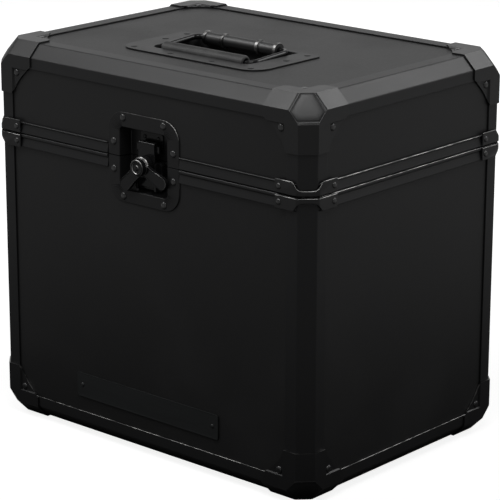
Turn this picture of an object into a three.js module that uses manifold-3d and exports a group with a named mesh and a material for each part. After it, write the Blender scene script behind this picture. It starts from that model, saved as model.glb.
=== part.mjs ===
// A record carrying case: a deep base and a shallow lid of black laminated board, framed in
// black metal trims and pressed corner caps, with a turn latch in front, a drop handle on top
// and two hinges behind. Millimetres, +Z up. The latch face looks towards -Y, the origin is
// under the middle of the case, on the plane that its bottom corner caps stand on.
import * as THREE from 'three';
import { ConvexGeometry } from 'three/addons/geometries/ConvexGeometry.js';
import { mergeVertices } from 'three/addons/utils/BufferGeometryUtils.js';
import Module from 'manifold-3d';

const wasm = await Module();
wasm.setup();

// Case
const caseWidth = 393.2;
const caseDepth = 286;
const shellHeight = 372;
const lidHeight = 85.4;
const partingGap = 0.8;
const edgeChamfer = 12;
const facetReach = 22.5;
const panelThickness = 7;
const fitGap = 0.3;
const overrun = 3;

// Trims
const trimWall = 1.2;
const slotBottomWall = 0.6;
const postLeg = 25;
const rimSideLeg = 22.5;
const rimTopLeg = 27;

// Valances, the trims that meet at the parting line
const valanceProud = 0.9;
const coveDepth = 0.4;
const coveHeight = 1.6;
const baseValance = { height: 12.3, lip: 3.6, web: 7.2 };
const lidValance = { height: 11, lip: 1.7, web: 7.3 };
const tongueInset = 3.6;
const tongueThickness = 2.4;
const tongueHeight = 4;
const tongueSideGap = 0.8;
const tongueEndGap = 0.6;

// Corner caps
const capWall = 1.2;
const capReach = 51;
const capReachUp = 49;
const capRimArm = 21;
const capPostArm = 25.5;
const gussetHollow = 2.5;
const capRivetAlong = 31.5;
const capRivetDown = 28.5;
const capTopRivet = 31;

// Corner braces
const braceWall = 1.3;
const braceReach = 36.6;
const braceHeight = 12.4;
const bracePartingGap = 1;
const braceRivetInset = 4.6;
const braceRivetUp = 6;
const scoopDepth = 7.6;
const scoopHalfTop = 14.5;
const scoopHalfBottom = 10.3;

// Rivets
const rivetRadius = 3.4;
const rivetHeight = 1.4;
const rivetSink = 0.5;
const smallRivetRadius = 2;
const smallRivetHeight = 0.9;
const rivetProfileShares = [[1, 0.25], [0.72, 0.8], [0, 1]];

// How far a chamfer and a facet grow with a thickness of one laid over them
const chamferGrowthShare = 2 - Math.SQRT2;
const facetGrowthShare = 1 - Math.sqrt(3) + Math.SQRT2;

// Latch dish, with its recess measured down and up from the parting line
const dishPlate = 1;
const dishCorner = 19;
const dishFlangeSide = 14.5;
const dishFlangeTop = 14;
const dishFlangeBottom = 12;
const recessHalfWidth = 30;
const recessBelow = 30.7;
const recessAbove = 28.3;
const recessCorner = 6;
const recessDepth = 13;
const recessDraft = 3;
const dishRivetSideInset = 7.2;
const dishRivetEndInset = 19.1;
const dishRivetRise = 13;
const dishRivetInset = 5.5;

// Latch
const hubDrop = 4.7;
const studRadius = 3.6;
const studFront = 6;
const latchPlateMargin = 3.9;
const latchPlateFront = 6.8;
const latchPlateDrop = 1.4;
const latchPlateGap = 0.1;
const railGap = 0.5;
const railWidth = 2.6;
const railFront = 3;
const hookHalfWidth = 10;
const hookFront = 4.3;
const hookWall = 2;
const hookFoot = 3;
const hookTopDrop = 7.3;
const hookBridge = 2.6;
const clawDrop = 4.2;
const hookTravel = 7.6;
const keeperMargin = 4;
const keeperPlate = 0.8;
const keeperTopGap = 3.7;
const keeperHeight = 18.2;
const keeperWall = 1.8;
const keeperRivetInset = 5.5;
const keeperRivetDown = 4.6;
const hubRadius = 8;
const hubBack = 3.7;
const hubFront = 9.4;
const hubRound = 1.6;
const wingFront = 4.6;
const wingThickness = 4;
const wingReach = 27.9;
const wingHalfAngle = 56;
const wingRestTurn = 11;
const wingTipRadius = 6.2;
const wingWaist = 5.7;
const wingBevel = 1;

// Handle dish
const handleHalfWidth = 87;
const handleDepth = 92;
const handleRear = 5;
const handleCorner = 20;
const handleRearCorner = 3;
const handleFlangeSide = 25;
const handleFlangeFront = 18;
const handleFlangeRear = 7.4;
const panEarFlange = 3.5;
const panEarWidth = 14.5;
const panCorner = 10;
const panDepth = 17;
const panDraft = 4;
const handleRivetSideInset = 14;
const handleRivetInner = 26;
const handleRivetFrontInset = 9;
const handleRivetMiddleInset = 55;
const handleRivetRearInset = 7;

// Handle, which turns in a barrel at the rear of the pan and lies forward to its front
const pivotInset = 4.6;
const pivotRise = 2.6;
const barrelRadius = 5.6;
const barrelEndGap = 1.9;
const ringRadius = 7;
const ringWidth = 3.2;
const ringSpacing = 22;
const rodRadius = 2.75;
const rodSideGap = 5;
const rodBend = 8;
const stubEnd = 28;
const gripInset = 10;
const gripRise = 0.4;
const gripRadius = 7.5;
const gripOverBend = 1.5;
const gripRound = 2;

// Blank plate
const plateWidth = 182;
const plateBottom = 38.9;
const plateHeight = 24;
const plateThickness = 1.2;
const plateCorner = 2;
const plateRivetInset = 7;

// Floor pad
const padThickness = 3;
const padClearance = 2;

// Hinges
const hingeInset = 76.6;
const hingeWidth = 60;
const hingePivotOut = 5;
const hingeKnuckleRadius = 3.8;
const hingePinRadius = 1.8;
const hingeWall = 1.5;
const hingeLeafHeight = 32;
const hingeWebRise = 4.4;
const hingeRivetInset = 9;
const hingeRivetEdge = 6.5;

const boardColour = 0x1b1b1c;
const trimColour = 0x232426;
const fastenerColour = 0x2b2c2e;
const latchColour = 0x101011;
const rubberColour = 0x1d1d1d;
const plateColour = 0x3c4046;
const padColour = 0x17171a;

// Counts
const roundSteps = 6;
const rivetSteps = 10;
const barrelSteps = 16;
const cornerSteps = 5;
const knuckleCount = 5;

const weldDistance = 0.0005;

const halfWidth = caseWidth / 2;
const halfDepth = caseDepth / 2;
const capProud = fitGap + capWall;
const shellBottom = capProud;
const shellTop = shellBottom + shellHeight;
const panelInset = trimWall + fitGap;
const panelBack = panelInset + panelThickness;
const channelDepth = panelBack + fitGap;
const trimDepth = channelDepth + trimWall;
const slotEnd = edgeChamfer + slotBottomWall;
const panelEdge = slotEnd + fitGap;
const frontPlane = -halfDepth;
const partingHeight = shellHeight - lidHeight;
const baseValanceTop = partingHeight - partingGap / 2;
const baseValanceBottom = baseValanceTop - baseValance.height;
const lidValanceBottom = partingHeight + partingGap / 2;
const lidValanceTop = lidValanceBottom + lidValance.height;
const topSurface = shellTop - panelInset;

const recessBottom = partingHeight - recessBelow;
const recessTop = partingHeight + recessAbove;
const dishHalfWidth = recessHalfWidth + dishFlangeSide;
const dishBottom = recessBottom - dishFlangeBottom;
const dishTop = recessTop + dishFlangeTop;
const dishRivetSide = dishHalfWidth - dishRivetSideInset;
const dishRivetEnd = dishHalfWidth - dishRivetEndInset;
const hubHeight = partingHeight - hubDrop;
const railInside = hookHalfWidth + railGap;
const latchPlateHalfWidth = railInside + railWidth + latchPlateMargin;
const latchPlateTop = partingHeight - latchPlateDrop;
const latchPlateBottom = recessBottom + recessDraft + latchPlateGap;
const keeperHalfWidth = hookHalfWidth + keeperMargin;
const keeperTop = recessTop - keeperTopGap;
const keeperShelf = keeperTop - keeperHeight;
const keeperRivetAcross = keeperHalfWidth - keeperRivetInset;
const hookBottom = latchPlateBottom + hookFoot;
const hookTop = keeperTop - hookTopDrop;

const handleFront = handleRear - handleDepth;
const panHalfWidth = handleHalfWidth - handleFlangeSide;
const panFront = handleFront + handleFlangeFront;
const panRear = handleRear - handleFlangeRear;
const panEarRear = handleRear - panEarFlange;
const panEarStart = panHalfWidth - panEarWidth;
const handleRivetAcross = handleHalfWidth - handleRivetSideInset;
const handleRivetFront = handleFront + handleRivetFrontInset;
const handleRivetMiddle = handleFront + handleRivetMiddleInset;
const handleRivetRear = handleRear - handleRivetRearInset;
const pivotY = panRear - pivotInset;
const pivotHeight = topSurface + pivotRise;
const barrelHalfLength = panEarStart - barrelEndGap;
const ringOuter = barrelHalfLength - ringWidth / 2;
const ringInner = ringOuter - ringSpacing;
const rodHalfSpan = panHalfWidth - rodSideGap;
const gripY = panFront + gripInset;
const gripHeight = topSurface + gripRise;
const gripHalfLength = rodHalfSpan - rodBend + gripOverBend;
const plateTop = plateBottom + plateHeight;
const plateRivetAcross = plateWidth / 2 - plateRivetInset;
const hingeAcross = halfWidth - hingeInset;
const braceRivetAlong = braceReach - braceRivetInset;

// Closed meshes, joined and cut

function solidOf(geometry) {
  const plain = geometry.clone();
  plain.deleteAttribute('normal');
  plain.deleteAttribute('uv');
  const merged = mergeVertices(plain, weldDistance);
  const mesh = new wasm.Mesh({
    numProp: 3,
    vertProperties: new Float32Array(merged.attributes.position.array),
    triVerts: new Uint32Array(merged.index.array),
  });
  return new wasm.Manifold(mesh);
}

function geometryOf(solid) {
  const mesh = solid.getMesh();
  const geometry = new THREE.BufferGeometry();
  geometry.setAttribute('position', new THREE.BufferAttribute(new Float32Array(mesh.vertProperties), 3));
  geometry.setIndex(new THREE.BufferAttribute(new Uint32Array(mesh.triVerts), 1));
  return geometry;
}

function join(...solids) {
  return solids.reduce((whole, piece) => whole.add(piece));
}

// A copy with chosen axes turned over, its triangles turned back to face out.
function flipped(solid, signX, signY, signZ) {
  const geometry = geometryOf(solid);
  geometry.scale(signX, signY, signZ);
  if (signX * signY * signZ < 0) {
    const index = geometry.index.array;
    for (let i = 0; i < index.length; i += 3) {
      [index[i], index[i + 1]] = [index[i + 1], index[i]];
    }
  }
  return geometry;
}

function box(x0, x1, y0, y1, z0, z1) {
  const block = new THREE.BoxGeometry(x1 - x0, y1 - y0, z1 - z0);
  return solidOf(block.translate((x0 + x1) / 2, (y0 + y1) / 2, (z0 + z1) / 2));
}

function shapeOf(points) {
  return new THREE.Shape(points.map(([x, y]) => new THREE.Vector2(x, y)));
}

function extrude(shape, depth) {
  return new THREE.ExtrudeGeometry(shape, { depth, bevelEnabled: false, curveSegments: roundSteps });
}

// An outline in X and Y, drawn up from one height to another.
function standing(shape, z0, z1) {
  return solidOf(extrude(shape, z1 - z0).translate(0, 0, z0));
}

// An outline in X and Z, drawn back from one Y to another.
function facing(shape, y0, y1) {
  return solidOf(extrude(shape, y1 - y0).rotateX(Math.PI / 2).translate(0, y1, 0));
}

// A section in Y and Z, drawn along X.
function lengthwise(points, x0, x1) {
  const turn = new THREE.Matrix4().makeBasis(
    new THREE.Vector3(0, 1, 0),
    new THREE.Vector3(0, 0, 1),
    new THREE.Vector3(1, 0, 0),
  );
  return solidOf(extrude(shapeOf(points), x1 - x0).applyMatrix4(turn).translate(x0, 0, 0));
}

function roundedRect(x0, x1, y0, y1, radius) {
  const shape = new THREE.Shape();
  shape.moveTo(x0 + radius, y0);
  shape.lineTo(x1 - radius, y0);
  shape.absarc(x1 - radius, y0 + radius, radius, -Math.PI / 2, 0);
  shape.lineTo(x1, y1 - radius);
  shape.absarc(x1 - radius, y1 - radius, radius, 0, Math.PI / 2);
  shape.lineTo(x0 + radius, y1);
  shape.absarc(x0 + radius, y1 - radius, radius, Math.PI / 2, Math.PI);
  shape.lineTo(x0, y0 + radius);
  shape.absarc(x0 + radius, y0 + radius, radius, Math.PI, Math.PI * 1.5);
  return shape;
}

// A round bar or tube about X, from a closed profile of [radius, x] points.
function turnedAboutX(profile, steps) {
  const points = profile.map(([radius, x]) => new THREE.Vector2(radius, x));
  return solidOf(new THREE.LatheGeometry(points, steps).rotateZ(-Math.PI / 2));
}

// A round bar about Y, whose profile runs from the axis back to the axis.
function turnedAboutY(profile, steps) {
  const points = profile.map(([radius, y]) => new THREE.Vector2(radius, y));
  return solidOf(new THREE.LatheGeometry(points, steps));
}

// Two rings of as many points, joined by a wall and closed at both ends.
function loft(lower, upper) {
  const count = lower.length;
  const positions = [...lower, ...upper].flatMap((p) => [p.x, p.y, p.z]);
  const faces = THREE.ShapeUtils.triangulateShape(
    lower.map((p) => new THREE.Vector2(p.x, p.y)),
    [],
  );
  const index = [];
  for (const [a, b, c] of faces) {
    index.push(a, c, b, a + count, b + count, c + count);
  }
  for (let i = 0; i < count; i += 1) {
    const next = (i + 1) % count;
    index.push(i, next, next + count, i, next + count, i + count);
  }
  const geometry = new THREE.BufferGeometry();
  geometry.setAttribute('position', new THREE.BufferAttribute(new Float32Array(positions), 3));
  geometry.setIndex(index);
  return geometry;
}

function ringOf(shape, z) {
  const points = shape.getPoints(cornerSteps).map((p) => new THREE.Vector3(p.x, p.y, z));
  return points.filter((p, i) => p.distanceTo(points[(i + 1) % points.length]) > weldDistance);
}

// A rivet head that stands on a plane through the origin, pointing up +Z.
function rivetHead(radius, height) {
  const profile = [
    [0, -rivetSink],
    [radius, -rivetSink],
    ...rivetProfileShares.map(([across, up]) => [radius * across, height * up]),
  ].map(([r, z]) => new THREE.Vector2(r, z));
  return new THREE.LatheGeometry(profile, rivetSteps).rotateX(Math.PI / 2);
}

const upward = new THREE.Vector3(0, 0, 1);

function rivetAt(x, y, z, direction, radius = rivetRadius, height = rivetHeight) {
  const turn = new THREE.Quaternion().setFromUnitVectors(upward, direction);
  return solidOf(rivetHead(radius, height).applyQuaternion(turn).translate(x, y, z));
}

const outFront = new THREE.Vector3(0, -1, 0);
const outRear = new THREE.Vector3(0, 1, 0);
const outLeft = new THREE.Vector3(-1, 0, 0);
const outTop = new THREE.Vector3(0, 0, 1);
const outBottom = new THREE.Vector3(0, 0, -1);

const materials = {
  board: new THREE.MeshStandardMaterial({ color: boardColour, roughness: 0.5, metalness: 0 }),
  trim: new THREE.MeshStandardMaterial({ color: trimColour, roughness: 0.42, metalness: 0.55 }),
  cap: new THREE.MeshStandardMaterial({ color: fastenerColour, roughness: 0.4, metalness: 0.5 }),
  latch: new THREE.MeshStandardMaterial({ color: latchColour, roughness: 0.2, metalness: 0.7 }),
  rubber: new THREE.MeshStandardMaterial({ color: rubberColour, roughness: 0.75, metalness: 0 }),
  plate: new THREE.MeshStandardMaterial({ color: plateColour, roughness: 0.45, metalness: 0.4 }),
  pad: new THREE.MeshStandardMaterial({ color: padColour, roughness: 0.95, metalness: 0 }),
};

function addMesh(group, name, shape, material, place = [0, 0, 0]) {
  const geometry = shape.isBufferGeometry ? shape : geometryOf(shape);
  const mesh = new THREE.Mesh(geometry, material);
  mesh.name = name;
  mesh.position.set(...place);
  group.add(mesh);
  return mesh;
}

const recordCase = new THREE.Group();
const base = new THREE.Group();
const lid = new THREE.Group();
recordCase.add(base, lid);

// The outside of the case, a box with chamfered edges and a flat facet on each corner.
// Corner places run inward from the corner along the three axes.
function facetPoints(grow) {
  const chamfer = edgeChamfer + chamferGrowthShare * grow;
  const reach = facetReach + facetGrowthShare * grow;
  const places = [0, chamfer, reach].map((place) => place - grow);
  const orders = [[0, 1, 2], [0, 2, 1], [1, 0, 2], [1, 2, 0], [2, 0, 1], [2, 1, 0]];
  return orders.map((order) => order.map((i) => places[i]));
}

function envelope(grow) {
  const points = [];
  for (const [u, v, w] of facetPoints(grow)) {
    for (const signX of [-1, 1]) {
      for (const signY of [-1, 1]) {
        points.push(new THREE.Vector3(signX * (halfWidth - u), signY * (halfDepth - v), shellBottom + w));
        points.push(new THREE.Vector3(signX * (halfWidth - u), signY * (halfDepth - v), shellTop - w));
      }
    }
  }
  return solidOf(new ConvexGeometry(points));
}

// The same outside round one corner, in corner places, out to a far end.
function cornerBlock(grow, far) {
  const chamfer = edgeChamfer + chamferGrowthShare * grow - grow;
  const points = facetPoints(grow).map((p) => new THREE.Vector3(...p));
  const ends = [[-grow, chamfer, far], [chamfer, -grow, far], [-grow, far, far], [far, far, far]];
  for (const [a, b, c] of ends) {
    points.push(new THREE.Vector3(a, b, c), new THREE.Vector3(c, a, b), new THREE.Vector3(b, c, a));
  }
  return solidOf(new ConvexGeometry(points));
}

const trimOutside = envelope(0);

// Panels: sheets of laminated board that stand in the slots of the trims

const panelHalfX = halfWidth - panelEdge;
const panelHalfY = halfDepth - panelEdge;
const basePanelTop = baseValanceTop - baseValance.web - fitGap;
const lidPanelBottom = lidValanceBottom + lidValance.web + fitGap;
const shellFloor = shellBottom + panelEdge;
const shellCeiling = shellTop - panelEdge;
const latchPanHalf = recessHalfWidth + dishPlate;

function wallPanels(group, prefix, z0, z1) {
  const front = box(
    -panelHalfX, panelHalfX,
    frontPlane + panelInset, frontPlane + panelBack, z0, z1,
  );
  const panOpening = box(
    -latchPanHalf - fitGap, latchPanHalf + fitGap,
    frontPlane - overrun, frontPlane + panelBack + overrun,
    recessBottom - dishPlate - fitGap, recessTop + dishPlate + fitGap,
  );
  const back = box(-panelHalfX, panelHalfX, halfDepth - panelBack, halfDepth - panelInset, z0, z1);
  const left = box(-halfWidth + panelInset, -halfWidth + panelBack, -panelHalfY, panelHalfY, z0, z1);
  const right = box(halfWidth - panelBack, halfWidth - panelInset, -panelHalfY, panelHalfY, z0, z1);
  const walls = [['front', front.subtract(panOpening)], ['back', back], ['left', left], ['right', right]];
  for (const [side, wall] of walls) {
    addMesh(group, `${prefix}_${side}_panel`, wall.intersect(trimOutside), materials.board);
  }
}

wallPanels(base, 'base', shellFloor, basePanelTop);
wallPanels(lid, 'lid', lidPanelBottom, shellCeiling);

const floorTop = shellBottom + panelBack;
const floorPanel = box(-panelHalfX, panelHalfX, -panelHalfY, panelHalfY, shellBottom + panelInset, floorTop);
addMesh(base, 'floor_panel', floorPanel.intersect(trimOutside), materials.board);

const handleOpening = box(
  -panHalfWidth - dishPlate - fitGap, panHalfWidth + dishPlate + fitGap,
  panFront - dishPlate - fitGap, panEarRear + dishPlate + fitGap,
  topSurface - panelThickness - overrun, topSurface + overrun,
);
const topPanel = box(
  -panelHalfX, panelHalfX, -panelHalfY, panelHalfY,
  topSurface - panelThickness, topSurface,
).subtract(handleOpening);
addMesh(lid, 'top_panel', topPanel.intersect(trimOutside), materials.board);

// Trims: posts at the upright edges and a mitred rim round the floor and the top

function trimProfile(sideLeg, topLeg) {
  return [
    [0, sideLeg],
    [0, edgeChamfer],
    [edgeChamfer, 0],
    [topLeg, 0],
    [topLeg, trimWall],
    [slotEnd, trimWall],
    [slotEnd, channelDepth],
    [topLeg, channelDepth],
    [topLeg, trimDepth],
    [trimDepth, trimDepth],
    [trimDepth, sideLeg],
    [channelDepth, sideLeg],
    [channelDepth, slotEnd],
    [trimWall, slotEnd],
    [trimWall, sideLeg],
  ];
}

// A section of inward and downward places, swept round the case with mitred corners.
function mitredFrame(profile) {
  const count = profile.length;
  const corners = [[-1, -1], [1, -1], [1, 1], [-1, 1]];
  const positions = [];
  for (const [signX, signY] of corners) {
    for (const [inset, drop] of profile) {
      positions.push(signX * (halfWidth - inset), signY * (halfDepth - inset), shellTop - drop);
    }
  }
  const index = [];
  for (let corner = 0; corner < corners.length; corner += 1) {
    const from = corner * count;
    const to = ((corner + 1) % corners.length) * count;
    for (let i = 0; i < count; i += 1) {
      const next = (i + 1) % count;
      index.push(from + i, to + next, from + next, from + i, to + i, to + next);
    }
  }
  const geometry = new THREE.BufferGeometry();
  geometry.setAttribute('position', new THREE.BufferAttribute(new Float32Array(positions), 3));
  geometry.setIndex(index);
  return solidOf(geometry);
}

const lidRim = mitredFrame(trimProfile(rimSideLeg, rimTopLeg)).intersect(trimOutside);
addMesh(lid, 'lid_rim', lidRim, materials.trim);
const rimMiddle = (shellBottom + shellTop) / 2;
const baseRim = flipped(solidOf(geometryOf(lidRim).translate(0, 0, -rimMiddle)), 1, 1, -1);
addMesh(base, 'base_rim', baseRim, materials.trim, [0, 0, rimMiddle]);

const sides = [['front_left', -1, -1], ['front_right', 1, -1], ['rear_left', -1, 1], ['rear_right', 1, 1]];

// Past the post's own end only its sloped wall goes on, behind the braces, to the parting line.
const slopeEnd = edgeChamfer + trimWall * Math.SQRT2;
const slopedWall = [[0, edgeChamfer], [edgeChamfer, 0], [slopeEnd, 0], [0, slopeEnd]];

function posts(group, prefix, z0, z1, slope0, slope1) {
  const section = standing(shapeOf(trimProfile(postLeg, postLeg)), 0, z1 - z0);
  const post = join(section, standing(shapeOf(slopedWall), slope0 - z0, slope1 - z0));
  for (const [corner, signX, signY] of sides) {
    const place = [signX * halfWidth, signY * halfDepth, z0];
    addMesh(group, `${prefix}_post_${corner}`, flipped(post, -signX, -signY, 1), materials.trim, place);
  }
}

const basePostTop = baseValanceBottom - fitGap;
const lidPostBottom = lidValanceTop + fitGap;
const basePostBottom = shellBottom + rimSideLeg + fitGap;
const lidPostTop = shellTop - rimSideLeg - fitGap;
posts(base, 'base', basePostBottom, basePostTop, basePostTop - trimWall, baseValanceTop);
posts(lid, 'lid', lidPostBottom, lidPostTop, lidValanceBottom, lidPostBottom + trimWall);

// Valances: the lipped trims along the parting line, the base's with a tongue and the lid's
// with the groove that it enters

const tongueBack = tongueInset + tongueThickness;

function valanceFace(bottom, sizes) {
  const top = bottom + sizes.height;
  return [
    [trimWall, bottom],
    [-valanceProud, bottom],
    [coveDepth, top - sizes.lip - coveHeight],
    [coveDepth, top - sizes.lip],
    [-valanceProud, top - sizes.lip + coveDepth],
    [-valanceProud, top],
  ].reverse();
}

const baseValanceProfile = [
  ...valanceFace(baseValanceBottom, baseValance),
  [trimWall, baseValanceTop - baseValance.web],
  [channelDepth, baseValanceTop - baseValance.web],
  [channelDepth, baseValanceBottom],
  [trimDepth, baseValanceBottom],
  [trimDepth, baseValanceTop],
  [tongueBack, baseValanceTop],
  [tongueBack, baseValanceTop + tongueHeight],
  [tongueInset, baseValanceTop + tongueHeight],
  [tongueInset, baseValanceTop],
];

const grooveTop = baseValanceTop + tongueHeight + tongueEndGap;
const lidValanceProfile = [
  ...valanceFace(lidValanceBottom, lidValance).slice(0, -1),
  [tongueInset - tongueSideGap, lidValanceBottom],
  [tongueInset - tongueSideGap, grooveTop],
  [tongueBack + tongueSideGap, grooveTop],
  [tongueBack + tongueSideGap, lidValanceBottom],
  [trimDepth, lidValanceBottom],
  [trimDepth, lidValanceTop],
  [channelDepth, lidValanceTop],
  [channelDepth, lidValanceBottom + lidValance.web],
  [trimWall, lidValanceBottom + lidValance.web],
  [trimWall, lidValanceTop],
];

const dishCut = dishHalfWidth + fitGap;
const valanceEnd = slopeEnd + fitGap * Math.SQRT2 + valanceProud;
const valanceOutX = halfWidth + valanceProud;
const valanceOutY = halfDepth + valanceProud;
const valanceEndX = halfWidth - valanceEnd;
const valanceEndY = halfDepth - valanceEnd;
const valanceOutside = standing(shapeOf([
  [-valanceEndX, -valanceOutY], [valanceEndX, -valanceOutY],
  [valanceOutX, -valanceEndY], [valanceOutX, valanceEndY],
  [valanceEndX, valanceOutY], [-valanceEndX, valanceOutY],
  [-valanceOutX, valanceEndY], [-valanceOutX, -valanceEndY],
]), shellBottom, shellTop);

function valances(group, prefix, profile) {
  const mitreGap = fitGap / 2;
  const runs = [
    ['front', 0, halfWidth, halfDepth],
    ['right', 1, halfDepth, halfWidth],
    ['back', 2, halfWidth, halfDepth],
    ['left', 3, halfDepth, halfWidth],
  ];
  for (const [side, quarterTurns, halfRun, out] of runs) {
    const turn = quarterTurns * (Math.PI / 2);
    const full = lengthwise(profile, -halfRun - overrun, halfRun + overrun);
    const mitre = shapeOf([
      [-halfRun - overrun + mitreGap, -overrun],
      [halfRun + overrun - mitreGap, -overrun],
      [halfRun - trimDepth - overrun - mitreGap, trimDepth + overrun],
      [-halfRun + trimDepth + overrun + mitreGap, trimDepth + overrun],
    ]);
    const cut = full.intersect(standing(mitre, shellBottom, shellTop));
    const turned = solidOf(geometryOf(cut).translate(0, -out, 0).rotateZ(turn));
    const whole = turned.intersect(valanceOutside);
    if (side !== 'front') {
      addMesh(group, `${prefix}_valance_${side}`, whole, materials.trim);
      continue;
    }
    const flangeRoom = box(
      -dishCut, dishCut, frontPlane - overrun, frontPlane + panelInset, shellBottom, shellTop,
    );
    const panHalf = latchPanHalf + fitGap;
    for (const [half, sign] of [['left', -1], ['right', 1]]) {
      const keep = box(
        Math.min(sign * panHalf, sign * (halfWidth + overrun)),
        Math.max(sign * panHalf, sign * (halfWidth + overrun)),
        frontPlane - overrun, 0, shellBottom, shellTop,
      );
      const piece = whole.intersect(keep).subtract(flangeRoom);
      addMesh(group, `${prefix}_valance_front_${half}`, piece, materials.trim);
    }
  }
}

valances(base, 'base', baseValanceProfile);
valances(lid, 'lid', lidValanceProfile);

// Corner caps: pressed shells over the three trims that meet at a corner. Where a cap
// reaches past the trims it steps down to the panels, and its rivets stand there.

const capFar = capReach + overrun;
const gussetOut = fitGap + capWall - panelInset;

function trimBars(grow) {
  const low = -edgeChamfer;
  return join(
    box(low, postLeg + grow, low, postLeg + grow, low, capFar),
    box(low, capFar, low, rimTopLeg + grow, low, rimSideLeg + grow),
    box(low, rimTopLeg + grow, low, capFar, low, rimSideLeg + grow),
  );
}

function gussetShape(alongReach, alongArm, downReach, downArm) {
  const low = -edgeChamfer;
  const middleX = (alongReach + downArm) / 2;
  const middleY = (alongArm + downReach) / 2;
  const away = new THREE.Vector2(downReach - alongArm, alongReach - downArm).normalize();
  const shape = new THREE.Shape();
  shape.moveTo(low, low);
  shape.lineTo(alongReach, low);
  shape.lineTo(alongReach, alongArm);
  shape.quadraticCurveTo(
    middleX - 2 * gussetHollow * away.x, middleY - 2 * gussetHollow * away.y,
    downArm, downReach,
  );
  shape.lineTo(low, downReach);
  return shape;
}

function cornerCap() {
  const low = -edgeChamfer;
  const outside = join(
    trimBars(capProud).intersect(cornerBlock(capProud, capFar)),
    cornerBlock(gussetOut, capFar),
  );
  const inside = join(
    trimBars(fitGap).intersect(cornerBlock(fitGap, capFar)),
    cornerBlock(gussetOut - capWall, capFar),
  );
  const sideShape = gussetShape(capReach, capRimArm, capReachUp, capPostArm);
  const topShape = gussetShape(capReach, capPostArm, capReach, capPostArm);
  const onTop = standing(topShape, low, trimDepth);
  const onSideY = facing(sideShape, low, trimDepth);
  const swap = new THREE.Matrix4().makeBasis(
    new THREE.Vector3(0, 1, 0),
    new THREE.Vector3(1, 0, 0),
    new THREE.Vector3(0, 0, -1),
  );
  const mirroredX = flipped(onSideY, 1, 1, -1);
  const onSideX = solidOf(mirroredX.applyMatrix4(swap));
  const footprint = join(onTop, onSideY, onSideX);
  return join(
    outside.subtract(inside).intersect(footprint),
    rivetAt(capRivetAlong, -gussetOut, capRivetDown, outFront),
    rivetAt(-gussetOut, capRivetAlong, capRivetDown, outLeft),
    rivetAt(capTopRivet, capTopRivet, -gussetOut, outBottom),
  );
}

const cap = cornerCap();
for (const [corner, signX, signY] of sides) {
  const low = [signX * halfWidth, signY * halfDepth, shellBottom];
  const high = [signX * halfWidth, signY * halfDepth, shellTop];
  addMesh(base, `base_cap_${corner}`, flipped(cap, -signX, -signY, 1), materials.cap, low);
  addMesh(lid, `lid_cap_${corner}`, flipped(cap, -signX, -signY, -1), materials.cap, high);
}

// Corner braces: bent strips over the mitres of the valances, scooped out round the edge

function cornerSection(grow, reach) {
  const chamfer = edgeChamfer + chamferGrowthShare * grow - grow;
  return [[-grow, reach], [-grow, chamfer], [chamfer, -grow], [reach, -grow]];
}

function cornerBrace() {
  const inner = valanceProud + fitGap;
  const outer = inner + braceWall;
  const ring = [...cornerSection(outer, braceReach), ...cornerSection(inner, braceReach).reverse()];
  const strip = standing(shapeOf(ring), 0, braceHeight);
  const scoop = new THREE.Shape();
  scoop.moveTo(-scoopHalfTop, braceHeight + overrun);
  scoop.lineTo(-scoopHalfTop, braceHeight);
  scoop.quadraticCurveTo(
    -scoopHalfTop, braceHeight - scoopDepth,
    -scoopHalfBottom, braceHeight - scoopDepth,
  );
  scoop.lineTo(scoopHalfBottom, braceHeight - scoopDepth);
  scoop.quadraticCurveTo(scoopHalfTop, braceHeight - scoopDepth, scoopHalfTop, braceHeight);
  scoop.lineTo(scoopHalfTop, braceHeight + overrun);
  const cutter = facing(scoop, -braceReach, braceReach);
  const turnedCutter = solidOf(geometryOf(cutter).rotateZ(-Math.PI / 4));
  return join(
    strip.subtract(turnedCutter),
    rivetAt(braceRivetAlong, -outer, braceRivetUp, outFront),
    rivetAt(-outer, braceRivetAlong, braceRivetUp, outLeft),
  );
}

const brace = cornerBrace();
for (const [corner, signX, signY] of sides) {
  const below = [signX * halfWidth, signY * halfDepth, partingHeight - bracePartingGap];
  const above = [signX * halfWidth, signY * halfDepth, partingHeight + bracePartingGap];
  addMesh(base, `base_brace_${corner}`, flipped(brace, -signX, -signY, -1), materials.cap, below);
  addMesh(lid, `lid_brace_${corner}`, flipped(brace, -signX, -signY, 1), materials.cap, above);
}

// Latch dish: one pressed dish, cut in two along the parting line

const flangeBack = panelInset - fitGap;
const flangeFront = flangeBack - dishPlate;

function latchRing(spread, depth) {
  const outline = roundedRect(
    -recessHalfWidth - spread, recessHalfWidth + spread,
    recessBottom - spread, recessTop + spread, recessCorner,
  );
  return ringOf(outline, -depth);
}

function latchPan() {
  const front = flangeFront;
  const shell = loft(
    latchRing(dishPlate - recessDraft, recessDepth + dishPlate),
    latchRing(dishPlate, flangeBack),
  );
  const hollow = loft(latchRing(-recessDraft, recessDepth), latchRing(0, front - overrun));
  const flange = extrude(
    roundedRect(-dishHalfWidth, dishHalfWidth, dishBottom, dishTop, dishCorner), dishPlate,
  ).translate(0, 0, -flangeBack);
  const dish = join(solidOf(shell), solidOf(flange)).subtract(solidOf(hollow));
  return solidOf(geometryOf(dish).rotateX(Math.PI / 2).translate(0, frontPlane, 0));
}

const wholeDish = latchPan();
const dishFace = frontPlane + flangeFront;
const dishFloor = frontPlane + recessDepth;

function dishHalf(z0, z1, endRivet, sideRivet) {
  const keep = box(
    -dishHalfWidth - overrun, dishHalfWidth + overrun,
    frontPlane - overrun, 0, z0, z1,
  );
  let half = wholeDish.intersect(keep);
  for (const sign of [-1, 1]) {
    half = half.add(rivetAt(sign * dishRivetEnd, dishFace, endRivet, outFront));
    half = half.add(rivetAt(sign * dishRivetSide, dishFace, sideRivet, outFront));
  }
  return half;
}

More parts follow.
